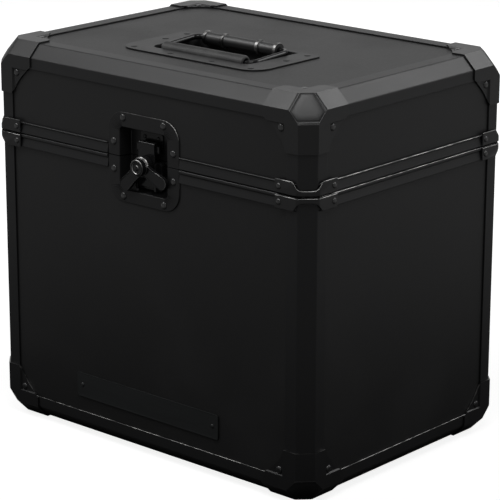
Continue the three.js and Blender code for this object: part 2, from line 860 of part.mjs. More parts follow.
const upperDish = dishHalf(
  lidValanceBottom, dishTop + overrun,
  dishTop - dishRivetInset, partingHeight + dishRivetRise,
);
addMesh(lid, 'latch_dish_upper', upperDish, materials.cap);

const latchPlate = box(
  -latchPlateHalfWidth, latchPlateHalfWidth,
  frontPlane + latchPlateFront, dishFloor + dishPlate / 2,
  latchPlateBottom, latchPlateTop,
);
const stud = turnedAboutY([
  [0, frontPlane - studFront],
  [studRadius, frontPlane - studFront],
  [studRadius, dishFloor],
  [0, dishFloor],
], barrelSteps);
const studInPlace = solidOf(geometryOf(stud).translate(0, 0, hubHeight));
const rails = [-1, 1].map((sign) => box(
  Math.min(sign * railInside, sign * (railInside + railWidth)),
  Math.max(sign * railInside, sign * (railInside + railWidth)),
  frontPlane + railFront, frontPlane + latchPlateFront + dishPlate / 2,
  latchPlateBottom, latchPlateTop,
));
const lowerDish = join(
  dishHalf(dishBottom - overrun, baseValanceTop, dishBottom + dishRivetInset, partingHeight - dishRivetRise),
  latchPlate,
  studInPlace,
  ...rails,
);
addMesh(base, 'latch_dish_lower', lowerDish, materials.cap);

// Keeper: a plate on the floor of the upper dish with a shelf that turns up at its edge

const keeperBack = recessDepth - fitGap;
const keeperEdgeFront = hookFront + hookWall + fitGap;
const keeperProfile = [
  [keeperBack, keeperShelf],
  [keeperBack, keeperTop],
  [keeperBack - keeperPlate, keeperTop],
  [keeperBack - keeperPlate, keeperShelf + keeperWall],
  [keeperEdgeFront + keeperWall, keeperShelf + keeperWall],
  [keeperEdgeFront + keeperWall, hookTop - hookBridge - fitGap],
  [keeperEdgeFront, hookTop - hookBridge - fitGap],
  [keeperEdgeFront, keeperShelf],
];
const keeper = join(
  lengthwise(keeperProfile.map(([y, z]) => [frontPlane + y, z]), -keeperHalfWidth, keeperHalfWidth),
  ...[-1, 1].map((sign) => rivetAt(
    sign * keeperRivetAcross, frontPlane + keeperBack - keeperPlate, keeperTop - keeperRivetDown,
    outFront, smallRivetRadius, smallRivetHeight,
  )),
);
addMesh(lid, 'latch_keeper', keeper, materials.latch);

// Hook: a slotted plate that slides between the rails and claws down behind the keeper's edge

const hook = new THREE.Group();
base.add(hook);
const clawFront = keeperEdgeFront + keeperWall + fitGap;
const clawBack = keeperBack - keeperPlate - smallRivetHeight - fitGap;
const hookProfile = [
  [hookFront, hookBottom],
  [hookFront + hookWall, hookBottom],
  [hookFront + hookWall, hookTop - hookBridge],
  [clawFront, hookTop - hookBridge],
  [clawFront, hookTop - hookBridge - clawDrop],
  [clawBack, hookTop - hookBridge - clawDrop],
  [clawBack, hookTop],
  [hookFront, hookTop],
];
const slotHalf = studRadius + fitGap;
const hookSlot = box(
  -slotHalf, slotHalf, frontPlane - overrun, frontPlane + recessDepth,
  hubHeight - slotHalf - hookTravel, hubHeight + slotHalf,
);
const hookPlate = lengthwise(
  hookProfile.map(([y, z]) => [frontPlane + y, z]), -hookHalfWidth, hookHalfWidth,
).subtract(hookSlot);
addMesh(hook, 'latch_hook', hookPlate, materials.latch);

// Butterfly: the hub that turns on the stud, with two wings to grip

const butterfly = new THREE.Group();
butterfly.position.set(0, frontPlane, hubHeight);
base.add(butterfly);
const hubBore = studRadius + fitGap;
const hubInside = studFront + fitGap;
const hub = turnedAboutY([
  [0, -hubFront],
  [hubRadius - hubRound, -hubFront],
  [hubRadius, -hubFront + hubRound],
  [hubRadius, -wingFront],
  [hubRadius + hubRound, -wingFront + wingBevel],
  [hubRadius + hubRound, hubBack],
  [hubBore, hubBack],
  [hubBore, -hubInside],
  [0, -hubInside],
], barrelSteps);

function wing(sign) {
  const turn = THREE.MathUtils.degToRad(wingHalfAngle + sign * wingRestTurn);
  const along = new THREE.Vector2(Math.sin(turn), -Math.cos(turn));
  const tip = along.clone().multiplyScalar(wingReach);
  const across = new THREE.Vector2(-along.y, along.x);
  const outer = tip.clone().addScaledVector(across, wingTipRadius);
  const inner = tip.clone().addScaledVector(across, -wingTipRadius);
  const rootOuter = across.clone().multiplyScalar(hubRadius);
  const rootInner = across.clone().multiplyScalar(-hubRadius);
  const middle = tip.clone().divideScalar(2);
  const waistOuter = middle.clone().addScaledVector(across, wingWaist);
  const waistInner = middle.clone().addScaledVector(across, -wingWaist);
  const shape = new THREE.Shape();
  shape.moveTo(rootInner.x, rootInner.y);
  shape.quadraticCurveTo(waistInner.x, waistInner.y, inner.x, inner.y);
  const start = Math.atan2(-across.y, -across.x);
  shape.absarc(tip.x, tip.y, wingTipRadius, start, start + Math.PI);
  shape.quadraticCurveTo(waistOuter.x, waistOuter.y, rootOuter.x, rootOuter.y);
  const blade = new THREE.ExtrudeGeometry(shape, {
    depth: wingThickness - 2 * wingBevel,
    bevelEnabled: true,
    bevelThickness: wingBevel,
    bevelSize: wingBevel,
    bevelOffset: -wingBevel,
    bevelSegments: 1,
    curveSegments: roundSteps,
  });
  blade.rotateX(Math.PI / 2).translate(0, wingThickness - wingBevel - wingFront, 0);
  return solidOf(flipped(solidOf(blade), sign, 1, 1));
}

const studRoom = turnedAboutY([
  [0, -hubInside],
  [hubBore, -hubInside],
  [hubBore, hubBack + overrun],
  [0, hubBack + overrun],
], barrelSteps);
const wings = join(wing(-1), wing(1)).subtract(studRoom);
addMesh(butterfly, 'latch_butterfly', join(hub, wings), materials.latch);

// Handle dish: a pressed pan let into the top, with the barrel that the handle turns in

const handleFlangeBottom = topSurface + fitGap;
const handleFlangeTop = handleFlangeBottom + dishPlate;

function handleRing(spread, z) {
  const x = panHalfWidth + spread;
  const start = panEarStart - spread;
  const front = panFront - spread;
  const shape = new THREE.Shape();
  shape.moveTo(-x + panCorner, front);
  shape.lineTo(x - panCorner, front);
  shape.absarc(x - panCorner, front + panCorner, panCorner, -Math.PI / 2, 0);
  shape.lineTo(x, panEarRear + spread);
  shape.lineTo(start, panEarRear + spread);
  shape.lineTo(start, panRear + spread);
  shape.lineTo(-start, panRear + spread);
  shape.lineTo(-start, panEarRear + spread);
  shape.lineTo(-x, panEarRear + spread);
  shape.lineTo(-x, front + panCorner);
  shape.absarc(-x + panCorner, front + panCorner, panCorner, Math.PI, Math.PI * 1.5);
  return ringOf(shape, z);
}

function handleFlange() {
  const shape = new THREE.Shape();
  shape.moveTo(-handleHalfWidth + handleCorner, handleFront);
  shape.lineTo(handleHalfWidth - handleCorner, handleFront);
  shape.absarc(handleHalfWidth - handleCorner, handleFront + handleCorner, handleCorner, -Math.PI / 2, 0);
  shape.lineTo(handleHalfWidth, handleRear - handleRearCorner);
  shape.lineTo(handleHalfWidth - handleRearCorner, handleRear);
  shape.lineTo(-handleHalfWidth + handleRearCorner, handleRear);
  shape.lineTo(-handleHalfWidth, handleRear - handleRearCorner);
  shape.lineTo(-handleHalfWidth, handleFront + handleCorner);
  shape.absarc(-handleHalfWidth + handleCorner, handleFront + handleCorner, handleCorner, Math.PI, Math.PI * 1.5);
  return standing(shape, handleFlangeBottom, handleFlangeTop);
}

function barrel() {
  const bore = rodRadius + fitGap;
  const halfRing = ringWidth / 2;
  const profile = [[bore, -barrelHalfLength], [barrelRadius, -barrelHalfLength]];
  for (const centre of [-ringOuter, -ringInner, ringInner, ringOuter]) {
    profile.push([barrelRadius, centre - halfRing], [ringRadius, centre - halfRing]);
    profile.push([ringRadius, centre + halfRing], [barrelRadius, centre + halfRing]);
  }
  profile.push([barrelRadius, barrelHalfLength], [bore, barrelHalfLength], [bore, -barrelHalfLength]);
  const tube = turnedAboutX(profile, barrelSteps);
  return solidOf(geometryOf(tube).translate(0, pivotY, pivotHeight));
}

function barrelSeat() {
  const bore = turnedAboutX([
    [0, -handleHalfWidth],
    [barrelRadius - dishPlate / 2, -handleHalfWidth],
    [barrelRadius - dishPlate / 2, handleHalfWidth],
    [0, handleHalfWidth],
  ], barrelSteps);
  const seat = box(
    -panEarStart + dishPlate, panEarStart - dishPlate,
    pivotY, panRear + dishPlate, handleFlangeBottom - barrelRadius, handleFlangeTop,
  );
  return seat.subtract(solidOf(geometryOf(bore).translate(0, pivotY, pivotHeight)));
}

const panFloor = handleFlangeTop - panDepth;
const panShell = join(
  solidOf(loft(handleRing(dishPlate - panDraft, panFloor - dishPlate), handleRing(dishPlate, handleFlangeTop))),
  handleFlange(),
).subtract(solidOf(loft(handleRing(-panDraft, panFloor), handleRing(0, handleFlangeTop + overrun))));
const handleRivets = [-1, 1].flatMap((sign) => [
  [sign * handleRivetAcross, handleRivetFront],
  [sign * handleRivetInner, handleRivetFront],
  [sign * (handleRivetAcross + dishRivetInset / 2), handleRivetMiddle],
  [sign * (handleRivetAcross + dishRivetInset / 2), handleRivetRear],
]).map(([x, y]) => rivetAt(x, y, handleFlangeTop, outTop));
addMesh(lid, 'handle_dish', join(panShell, barrel(), barrelSeat(), ...handleRivets), materials.cap);

// Handle: a bent rod whose ends turn in the barrel, with a rubber grip over its front

const handle = new THREE.Group();
const handleReach = pivotY - gripY;
const handleTilt = Math.atan2(pivotHeight - gripHeight, handleReach);
const handleLength = Math.hypot(pivotHeight - gripHeight, handleReach);
handle.position.set(0, pivotY, pivotHeight);
handle.rotation.x = handleTilt;
lid.add(handle);

function rodPath() {
  const points = [[stubEnd, 0]];
  const bends = [[rodHalfSpan - rodBend, -rodBend, Math.PI / 2], [rodHalfSpan - rodBend, -handleLength + rodBend, 0]];
  for (const [x, y, start] of bends) {
    for (let step = 0; step <= cornerSteps; step += 1) {
      const angle = start - (Math.PI / 2) * (step / cornerSteps);
      points.push([x + rodBend * Math.cos(angle), y + rodBend * Math.sin(angle)]);
    }
  }
  const other = points.map(([x, y]) => [-x, y]).reverse();
  return [...points, ...other].map(([x, y]) => new THREE.Vector2(x, y));
}

// A round rod along a path that lies flat, each ring set halfway between the two directions.
function bentRod(path, radius, count) {
  const positions = [];
  path.forEach((point, i) => {
    const before = point.clone().sub(path[i - 1] ?? point).normalize();
    const after = (path[i + 1] ?? point).clone().sub(point).normalize();
    const ahead = before.clone().add(after).normalize();
    const bisected = Math.max(ahead.dot(before), ahead.dot(after));
    for (let step = 0; step < count; step += 1) {
      const angle = (step / count) * Math.PI * 2;
      const side = (radius * Math.cos(angle)) / bisected;
      positions.push(point.x - ahead.y * side, point.y + ahead.x * side, radius * Math.sin(angle));
    }
  });
  const last = (path.length - 1) * count;
  const index = [];
  for (let i = 0; i < path.length - 1; i += 1) {
    for (let step = 0; step < count; step += 1) {
      const a = i * count + step;
      const b = i * count + ((step + 1) % count);
      index.push(a, b, b + count, a, b + count, a + count);
    }
  }
  for (let step = 1; step < count - 1; step += 1) {
    index.push(0, step + 1, step, last, last + step, last + step + 1);
  }
  const geometry = new THREE.BufferGeometry();
  geometry.setAttribute('position', new THREE.BufferAttribute(new Float32Array(positions), 3));
  geometry.setIndex(index);
  return solidOf(geometry);
}

addMesh(handle, 'handle_bail', bentRod(rodPath(), rodRadius, rivetSteps), materials.latch);
const gripBore = rodRadius + fitGap;
const grip = turnedAboutX([
  [gripBore, -gripHalfLength],
  [gripRadius - gripRound, -gripHalfLength],
  [gripRadius, -gripHalfLength + gripRound],
  [gripRadius, gripHalfLength - gripRound],
  [gripRadius - gripRound, gripHalfLength],
  [gripBore, gripHalfLength],
  [gripBore, -gripHalfLength],
], barrelSteps);
addMesh(handle, 'handle_grip', grip, materials.rubber, [0, -handleLength, 0]);

// Blank plate: a bare riveted plate low on the front

const plateBack = frontPlane + panelInset - fitGap;
const blankPlate = join(
  facing(
    roundedRect(-plateWidth / 2, plateWidth / 2, plateBottom, plateTop, plateCorner),
    plateBack - plateThickness, plateBack,
  ),
  ...[-1, 1].map((sign) => rivetAt(
    sign * plateRivetAcross, plateBack - plateThickness, (plateBottom + plateTop) / 2,
    outFront, smallRivetRadius, smallRivetHeight,
  )),
);
addMesh(base, 'blank_plate', blankPlate, materials.plate);

// Floor pad: a foam sheet that lines the floor

const padHalfX = halfWidth - trimDepth - padClearance;
const padHalfY = halfDepth - trimDepth - padClearance;
const rimLegTop = shellBottom + trimDepth;
const pad = box(-padHalfX, padHalfX, -padHalfY, padHalfY, rimLegTop + fitGap, rimLegTop + fitGap + padThickness);
addMesh(base, 'floor_pad', pad, materials.pad);

// Hinges: leaves that step out over the valances to a knuckled barrel behind the case

const hingeY = halfDepth + hingePivotOut;
const leafInner = halfDepth + valanceProud + fitGap;
const leafOuter = leafInner + hingeWall;
const panelLeafInner = halfDepth - panelInset + fitGap;
const panelLeafOuter = panelLeafInner + hingeWall;
const knuckleLength = hingeWidth / knuckleCount;

function knuckleTube(x0, x1, bore) {
  const profile = bore > 0
    ? [[bore, x0], [hingeKnuckleRadius, x0], [hingeKnuckleRadius, x1], [bore, x1], [bore, x0]]
    : [[0, x0], [hingeKnuckleRadius, x0], [hingeKnuckleRadius, x1], [0, x1]];
  const tube = turnedAboutX(profile, barrelSteps);
  return solidOf(geometryOf(tube).translate(0, hingeY, partingHeight));
}

function knuckleSpan(i) {
  const from = -hingeWidth / 2 + i * knuckleLength;
  return [from + fitGap / 2, from + knuckleLength - fitGap / 2];
}

// The leaf in Y and in height away from the parting line, above it for the lid.
function hingeLeaf(sign, valanceEdge, owned, bore) {
  const rise = (height) => partingHeight + sign * height;
  const stepFrom = valanceEdge + fitGap;
  const section = [
    [leafInner, rise(hingeWebRise)],
    [leafOuter, rise(hingeWebRise)],
    [leafOuter, rise(stepFrom)],
    [panelLeafOuter, rise(stepFrom + hingeWall)],
    [panelLeafOuter, rise(hingeLeafHeight)],
    [panelLeafInner, rise(hingeLeafHeight)],
    [panelLeafInner, rise(stepFrom)],
    [leafInner, rise(stepFrom)],
  ];
  const ordered = sign > 0 ? section : section.reverse();
  let leaf = lengthwise(ordered, -hingeWidth / 2, hingeWidth / 2);
  const hole = turnedAboutX([
    [0, -hingeWidth],
    [bore > 0 ? bore : hingePinRadius, -hingeWidth],
    [bore > 0 ? bore : hingePinRadius, hingeWidth],
    [0, hingeWidth],
  ], barrelSteps);
  const boreHole = solidOf(geometryOf(hole).translate(0, hingeY, partingHeight));
  for (const i of owned) {
    const [x0, x1] = knuckleSpan(i);
    const webEnds = [rise(0), rise(hingeWebRise + hingeWall)];
    const web = box(x0, x1, leafInner, leafOuter, Math.min(...webEnds), Math.max(...webEnds));
    leaf = leaf.add(knuckleTube(x0, x1, bore)).add(web.subtract(boreHole));
  }
  for (const across of [-1, 0, 1]) {
    leaf = leaf.add(rivetAt(
      across * (hingeWidth / 2 - hingeRivetInset), panelLeafOuter, rise(hingeLeafHeight - hingeRivetEdge), outRear,
    ));
  }
  return leaf;
}

const outerKnuckles = [0, 2, 4];
const innerKnuckles = [1, 3];
const pin = turnedAboutX([
  [0, -hingeWidth / 2 + knuckleLength / 2],
  [hingePinRadius, -hingeWidth / 2 + knuckleLength / 2],
  [hingePinRadius, hingeWidth / 2 - knuckleLength / 2],
  [0, hingeWidth / 2 - knuckleLength / 2],
], barrelSteps);
const pinInPlace = solidOf(geometryOf(pin).translate(0, hingeY, partingHeight));
const baseValanceDrop = partingHeight - baseValanceBottom;
const lidValanceRise = lidValanceTop - partingHeight;
const baseLeaf = join(hingeLeaf(-1, baseValanceDrop, outerKnuckles, 0), pinInPlace);
const lidLeaf = hingeLeaf(1, lidValanceRise, innerKnuckles, hingePinRadius + fitGap);
for (const [side, sign] of [['left', -1], ['right', 1]]) {
  const place = [sign * hingeAcross, 0, 0];
  addMesh(base, `hinge_leaf_base_${side}`, baseLeaf, materials.cap, place);
  addMesh(lid, `hinge_leaf_lid_${side}`, lidLeaf, materials.cap, place);
}

export default recordCase;
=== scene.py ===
import math
import bmesh
import bpy
from mathutils import Matrix, Vector


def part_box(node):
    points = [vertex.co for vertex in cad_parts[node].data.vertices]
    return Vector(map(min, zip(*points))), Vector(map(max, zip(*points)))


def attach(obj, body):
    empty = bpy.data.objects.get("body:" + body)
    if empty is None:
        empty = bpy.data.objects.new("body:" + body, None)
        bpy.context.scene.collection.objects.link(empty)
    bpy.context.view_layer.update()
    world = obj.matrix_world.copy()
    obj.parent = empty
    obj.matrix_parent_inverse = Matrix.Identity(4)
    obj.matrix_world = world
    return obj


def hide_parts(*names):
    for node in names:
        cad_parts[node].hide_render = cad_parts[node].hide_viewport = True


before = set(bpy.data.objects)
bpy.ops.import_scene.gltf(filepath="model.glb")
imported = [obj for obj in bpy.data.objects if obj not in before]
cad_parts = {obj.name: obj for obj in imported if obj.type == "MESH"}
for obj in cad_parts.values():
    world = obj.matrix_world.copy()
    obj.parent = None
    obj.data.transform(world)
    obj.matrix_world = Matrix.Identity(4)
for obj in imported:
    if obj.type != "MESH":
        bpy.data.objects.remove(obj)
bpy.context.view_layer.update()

# Studio
# The case stands on a pale sweep under three soft boxes and two weak fills. The camera stands
# at the photograph's place: low, to the right of the latch face, with a long lens.

scene = bpy.context.scene
scene.view_settings.view_transform = "Standard"

camera_azimuth = math.radians(41.39)
camera_elevation = math.radians(16.64)
camera_roll = math.radians(0.13)
camera_place = Vector((1.44859, -1.63929, 0.82454))
focal_length = 170.0
sensor_width = 36.0

camera_back = Vector((
    math.sin(camera_azimuth) * math.cos(camera_elevation),
    -math.cos(camera_azimuth) * math.cos(camera_elevation),
    math.sin(camera_elevation),
))
level_right = Vector((math.cos(camera_azimuth), math.sin(camera_azimuth), 0))
level_up = camera_back.cross(level_right)
camera_right = level_right * math.cos(camera_roll) + level_up * math.sin(camera_roll)
camera_up = level_up * math.cos(camera_roll) - level_right * math.sin(camera_roll)

camera_data = bpy.data.cameras.new("photo_camera")
camera_data.lens = focal_length
camera_data.sensor_width = sensor_width
camera = bpy.data.objects.new("photo_camera", camera_data)
scene.collection.objects.link(camera)
turn = Matrix((camera_right, camera_up, camera_back)).transposed().to_4x4()
camera.matrix_world = Matrix.Translation(camera_place) @ turn
scene.camera = camera


class Socket:
    """A shader socket that takes part in sums, each of which adds its Math node."""

    def __init__(self, finish, output):
        self.finish = finish
        self.output = output

    def maths(self, operation, *values):
        return self.finish.node("ShaderNodeMath", {"operation": operation}, *values)

    def __add__(self, other):
        return self.maths("ADD", self, other)

    def __radd__(self, other):
        return self.maths("ADD", other, self)

    def __sub__(self, other):
        return self.maths("SUBTRACT", self, other)

    def __rsub__(self, other):
        return self.maths("SUBTRACT", other, self)

    def __mul__(self, other):
        return self.maths("MULTIPLY", self, other)

    def __rmul__(self, other):
        return self.maths("MULTIPLY", other, self)

    def between(self, low, high):
        """Zero below low, one above high, and smooth between the two."""
        settings = {"interpolation_type": "SMOOTHSTEP"}
        return self.finish.node("ShaderNodeMapRange", settings, self, low, high)


class Finish:
    """A material and the nodes that make it up."""

    def __init__(self, name):
        self.material = bpy.data.materials.new(name)
        self.material.use_nodes = True
        self.tree = self.material.node_tree
        self.tree.nodes.clear()
        self.end = self.tree.nodes.new("ShaderNodeOutputMaterial")

    def node(self, kind, settings=None, *values, output=0, **named):
        """Adds a node. Settings come first, then socket values in order or by name."""
        made = self.tree.nodes.new(kind)
        for key, value in (settings or {}).items():
            setattr(made, key, value)
        pairs = [(made.inputs[i], value) for i, value in enumerate(values)]
        pairs += [(made.inputs[key.replace("_", " ")], value) for key, value in named.items()]
        for socket, value in pairs:
            if isinstance(value, Socket):
                self.tree.links.new(value.output, socket)
            elif value is not None:
                socket.default_value = value
        return Socket(self, made.outputs[output])

    def blend(self, factor, one, other):
        """The colour one where factor is zero, and other where it is one."""
        number_and_vector_sockets = (None,) * 5
        return self.node(
            "ShaderNodeMix", {"data_type": "RGBA"}, factor, *number_and_vector_sockets, one, other,
            output=2,
        )

    def place(self):
        """Where a point lies on the piece, in metres."""
        return self.node("ShaderNodeTexCoord", output="Object")

    def noise(self, place, scale, detail):
        """Cloudy noise, with as many clouds in a metre as the scale says."""
        return self.node("ShaderNodeTexNoise", None, Vector=place, Scale=scale, Detail=detail)

    def relief(self, height, strength, depth):
        """The normal over a height from zero to one that stands as tall as the depth."""
        return self.node(
            "ShaderNodeBump", None, Strength=strength, Distance=depth, Height=height,
        )

    def surface(self, shader):
        """Ends the material with a shader."""
        self.tree.links.new(shader.output, self.end.inputs["Surface"])
        return self.material

    def principled(self, **values):
        """Ends the material with a Principled shader of these values."""
        return self.surface(self.node("ShaderNodeBsdfPrincipled", None, **values))


sweep_radius = 2.2
sweep_sides = 96
sweep_pale = (0.8, 0.8, 0.8, 1)
# Painted shadow on the sweep: close to the case its colour takes the shade tone and its glow the
# darker tone. Both fade to the lit tones between the two distances below.
sweep_shade = (0.06, 0.06, 0.06, 1)
sweep_lit = (0.40, 0.40, 0.40, 1)
shade_near = 0.22
shade_far = 1.3
white = (1, 1, 1, 1)
sweep_glow = 1.5
glow_in_painted_shade = (0.8, 0.8, 0.8, 1)
glow_share = 0.72
mirrored_share = 0.11
air_ambient = 0.10
air_mirrored = 0.32

sweep = Finish("studio_sweep")
seen = sweep.node("ShaderNodeLightPath", output="Is Camera Ray")
mirrored = sweep.node("ShaderNodeLightPath", output="Is Glossy Ray")
passed = sweep.node("ShaderNodeLightPath", output="Is Transmission Ray")
background_ray = sweep.node("ShaderNodeMath", {"operation": "MAXIMUM"}, seen, passed)
# A painted shadow round the case: the sweep's colour, its glow and the glow that reflections see all
# grow darker towards it.
from_case = sweep.node(
    "ShaderNodeVectorMath", {"operation": "LENGTH"}, sweep.place(), output="Value",
)
clear_of_painted_shade = from_case.between(shade_near, shade_far)
pale = sweep.node("ShaderNodeBsdfDiffuse", None, sweep_pale)
dim = sweep.node("ShaderNodeBsdfDiffuse", None, sweep.blend(clear_of_painted_shade, sweep_shade, sweep_lit))
glow_tone = sweep.blend(clear_of_painted_shade, glow_in_painted_shade, white)
glow = sweep.node("ShaderNodeEmission", None, glow_tone, sweep_glow)
shown = sweep.node("ShaderNodeMixShader", None, glow_share, pale, glow)
bounced_glow = mirrored * clear_of_painted_shade * mirrored_share
bounced = sweep.node("ShaderNodeMixShader", None, bounced_glow, dim, glow)
sweep.surface(sweep.node("ShaderNodeMixShader", None, background_ray, bounced, shown))

bpy.ops.object.select_all(action="DESELECT")
bpy.ops.mesh.primitive_circle_add(vertices=sweep_sides, radius=sweep_radius, fill_type="NGON")
floor = bpy.context.object
floor.name = "studio_floor"
floor.data.materials.append(sweep.material)

world = bpy.data.worlds.new("studio_air")
world.use_nodes = True
scene.world = world
air = world.node_tree
background = air.nodes["Background"]
background.inputs["Color"].default_value = white
air_path = air.nodes.new("ShaderNodeLightPath")
strengths = (("Is Camera Ray", 1.0), ("Is Transmission Ray", 1.0), ("Is Glossy Ray", air_mirrored))
level = None
for ray, strength in strengths:
    part = air.nodes.new("ShaderNodeMath")
    part.operation = "MULTIPLY_ADD"
    air.links.new(air_path.outputs[ray], part.inputs[0])
    part.inputs[1].default_value = strength - air_ambient
    part.inputs[2].default_value = air_ambient
    if level:
        air.links.new(level.outputs[0], part.inputs[2])
    level = part
air.links.new(level.outputs[0], background.inputs["Strength"])

case_middle = (0, 0, 0.3)
key_size = 0.9


def softbox(name, place, power, target=case_middle, width=key_size, height=key_size):
    """A rectangular lamp at a place, facing a target."""
    lamp = bpy.data.lights.new(name, "AREA")
    lamp.shape = "RECTANGLE"
    lamp.size = width
    lamp.size_y = height
    lamp.energy = power
    stand = bpy.data.objects.new(name, lamp)
    scene.collection.objects.link(stand)
    facing = (Vector(target) - Vector(place)).to_track_quat("-Z", "Y").to_matrix().to_4x4()
    stand.matrix_world = Matrix.Translation(Vector(place)) @ facing


softbox("left_key", (-0.9, -0.9, 1.7), 18)
softbox("right_key", (0.6, -0.6, 1.9), 16)
softbox("rear_key", (0.76, 1.44, 1.64), 14)
softbox("right_fill", (1.3, 0.9, 0.8), 2, target=(0, 0, 0.2), width=0.8, height=0.8)
softbox("rear_fill", (-1.3, 1.35, 0.85), 1.6, width=1.4, height=0.8)

# Boards
# The walls, floor and top are 7 mm poplar ply faced with black laminate, sawn square and
# slid into the slots of the metal trims. The laminate has a fine pebble and a satin face.

laminate_black = (0.0068, 0.0068, 0.0070, 1)
laminate_worn = (0.0105, 0.0105, 0.0108, 1)
pebble_size = 0.0009
pebble_height = 0.00006

laminate = Finish("black_laminate")
place = laminate.place()
pebble = laminate.node(
    "ShaderNodeTexVoronoi", {"feature": "SMOOTH_F1"}, Vector=place, Scale=1 / pebble_size,
)
cloud = laminate.noise(place, scale=9.0, detail=4.0)
speckle = laminate.noise(place, scale=420.0, detail=2.0)
scuffed = cloud.between(0.50, 0.72)
laminate.principled(
    Base_Color=laminate.blend(scuffed * 0.6, laminate_black, laminate_worn), IOR=1.37,
    Roughness=0.43 + speckle * 0.08 + scuffed * 0.05,
    Normal=laminate.relief(pebble, strength=0.35, depth=pebble_height),
)


def dressed(piece, material):
    """Gives a piece one material all over."""
    piece.data.materials.clear()
    piece.data.materials.append(material)


for name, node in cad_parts.items():
    if name.endswith("_panel"):
        dressed(node, laminate.material)

# Trims
# Black anodised aluminium extrusions frame the boards: a mitred rim round the floor and round
# the top, a post at each upright edge, and a lipped valance on each side of the parting line.
# They are sawn to length with their edges eased, and the caps and braces hold them together.

anodised_black = (0.0072, 0.0073, 0.0077, 1)
anodised_worn = (0.0300, 0.0302, 0.0310, 1)
drawn_fine = 1500
drawn_long = 14
worn_from = 0.02
worn_to = 0.22
chamfer_ease = 0.0009
edge_ease = 0.00045
face_slack = 0.00005
# Tones of the bright bare-metal finish below, which is partly edge wear and partly painted highlight
# lines.
rubbed_highlight_bright = (0.260, 0.257, 0.253, 1)
rubbed_highlight_dim = (0.050, 0.050, 0.050, 1)


def worn_edge(finish, reach):
    """One on edges and zero on flats, from how far a rounded normal leans away."""
    rounded_normal = finish.node("ShaderNodeBevel", {"samples": 4}, reach)
    flat_normal = finish.node("ShaderNodeNewGeometry", output="Normal")
    alike = finish.node(
        "ShaderNodeVectorMath", {"operation": "DOT_PRODUCT"}, rounded_normal, flat_normal,
        output="Value",
    )
    return (1 - alike).between(worn_from, worn_to)


def anodised(name, along, ior=1.38):
    """Anodised aluminium with the fine lines of the die running along one axis."""
    finish = Finish(name)
    place = finish.place()
    stretch = [drawn_fine, drawn_fine, drawn_fine]
    stretch[along] = drawn_long
    drawn = finish.node("ShaderNodeMapping", None, place, None, None, stretch)
    lines = finish.noise(drawn, scale=1.0, detail=2.0)
    cloud = finish.noise(place, scale=23.0, detail=3.0)
    edge = worn_edge(finish, 0.0007)
    return finish.principled(
        Base_Color=finish.blend(edge * cloud.between(0.40, 0.65) * 0.8, anodised_black, anodised_worn),
        Metallic=0.0, IOR=ior, Roughness=0.38 + lines * 0.08 + cloud * 0.04,
        Normal=finish.relief(lines, strength=0.12, depth=0.00004),
    )


def only(piece):
    """Leaves edit mode, with one piece selected or none."""
    if bpy.context.object and bpy.context.object.mode != "OBJECT":
        bpy.ops.object.mode_set(mode="OBJECT")
    bpy.ops.object.select_all(action="DESELECT")
    if piece:
        piece.select_set(True)
        bpy.context.view_layer.objects.active = piece


def modified(piece, kind, **settings):
    """Adds a modifier with its settings and applies it."""
    only(piece)
    modifier = piece.modifiers.new(kind, kind)
    for key, value in settings.items():
        setattr(modifier, key, value)
    bpy.ops.object.modifier_apply(modifier=modifier.name)
    return piece


def smoothed(piece, angle=40):
    """Smooth shading up to an angle, with the flats kept flat."""
    only(piece)
    bpy.ops.object.shade_smooth_by_angle(angle=math.radians(angle))
    return modified(piece, "WEIGHTED_NORMAL", keep_sharp=True)


def finished(piece, body, material, node):
    """Gives a piece its material, the body that it moves with and the node it stands for."""
    if material:
        dressed(piece, material)
    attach(piece, body)
    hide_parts(node)


def sound_copy(name, copy_name):
    """A copy of a CAD node with its triangles merged into whole faces."""
    copy = bpy.data.objects.new(copy_name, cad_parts[name].data.copy())
    scene.collection.objects.link(copy)
    only(copy)
    bpy.ops.object.mode_set(mode="EDIT")
    bpy.ops.mesh.select_all(action="SELECT")
    bpy.ops.mesh.customdata_custom_splitnormals_clear()
    bpy.ops.mesh.remove_doubles(threshold=0.000002)
    bpy.ops.mesh.dissolve_limited(angle_limit=math.radians(0.5))
    bpy.ops.object.mode_set(mode="OBJECT")
    return copy


def eased_by_angle(piece, width, steps, blunt, square, square_share, broad=None):
    """Rounds edges that bend between two angles by the whole width.

    Those that bend more get a share of it, and the broad ones among them all of it.
    """
    solid = bmesh.new()
    solid.from_mesh(piece.data)
    weight = solid.edges.layers.float.new("bevel_weight_edge")
    for edge in solid.edges:
        angle = math.degrees(edge.calc_face_angle(0))
        middle = (edge.verts[0].co + edge.verts[1].co) / 2
        if blunt < angle < square:
            edge[weight] = 1.0
        elif angle >= square:
            edge[weight] = 1.0 if broad and broad(middle) else square_share
    solid.to_mesh(piece.data)
    solid.free()
    modified(
        piece, "BEVEL", width=width, segments=steps, limit_method="WEIGHT",
        use_clamp_overlap=False,
    )
    return smoothed(piece, 35)


# Bright bare metal in patches. It stands partly for edges worn through and partly for painted
# highlight lines along edges that face the lamps.
rubbed_and_highlight_edge = Finish("rubbed_and_highlight_edge")
patches = rubbed_and_highlight_edge.noise(rubbed_and_highlight_edge.place(), scale=95.0, detail=4.0)
rubbed_and_highlight_edge.principled(
    Base_Color=rubbed_and_highlight_edge.blend(patches.between(0.38, 0.62), rubbed_highlight_dim, rubbed_highlight_bright),
    Metallic=1.0, Roughness=0.34 + patches * 0.08,
)


def rubbed_and_highlighted(piece, test):
    """Gives the faces that pass the test of place and direction the bright metal: partly worn edges,
    partly painted highlights.
    """
    piece.data.materials.append(rubbed_and_highlight_edge.material)
    last = len(piece.data.materials) - 1
    for face in piece.data.polygons:
        if test(face.center, face.normal):
            face.material_index = last


trim_along_x = anodised("anodised_along_x", 0)
trim_along_y = anodised("anodised_along_y", 1)
trim_upright = anodised("anodised_upright", 2, 1.35)

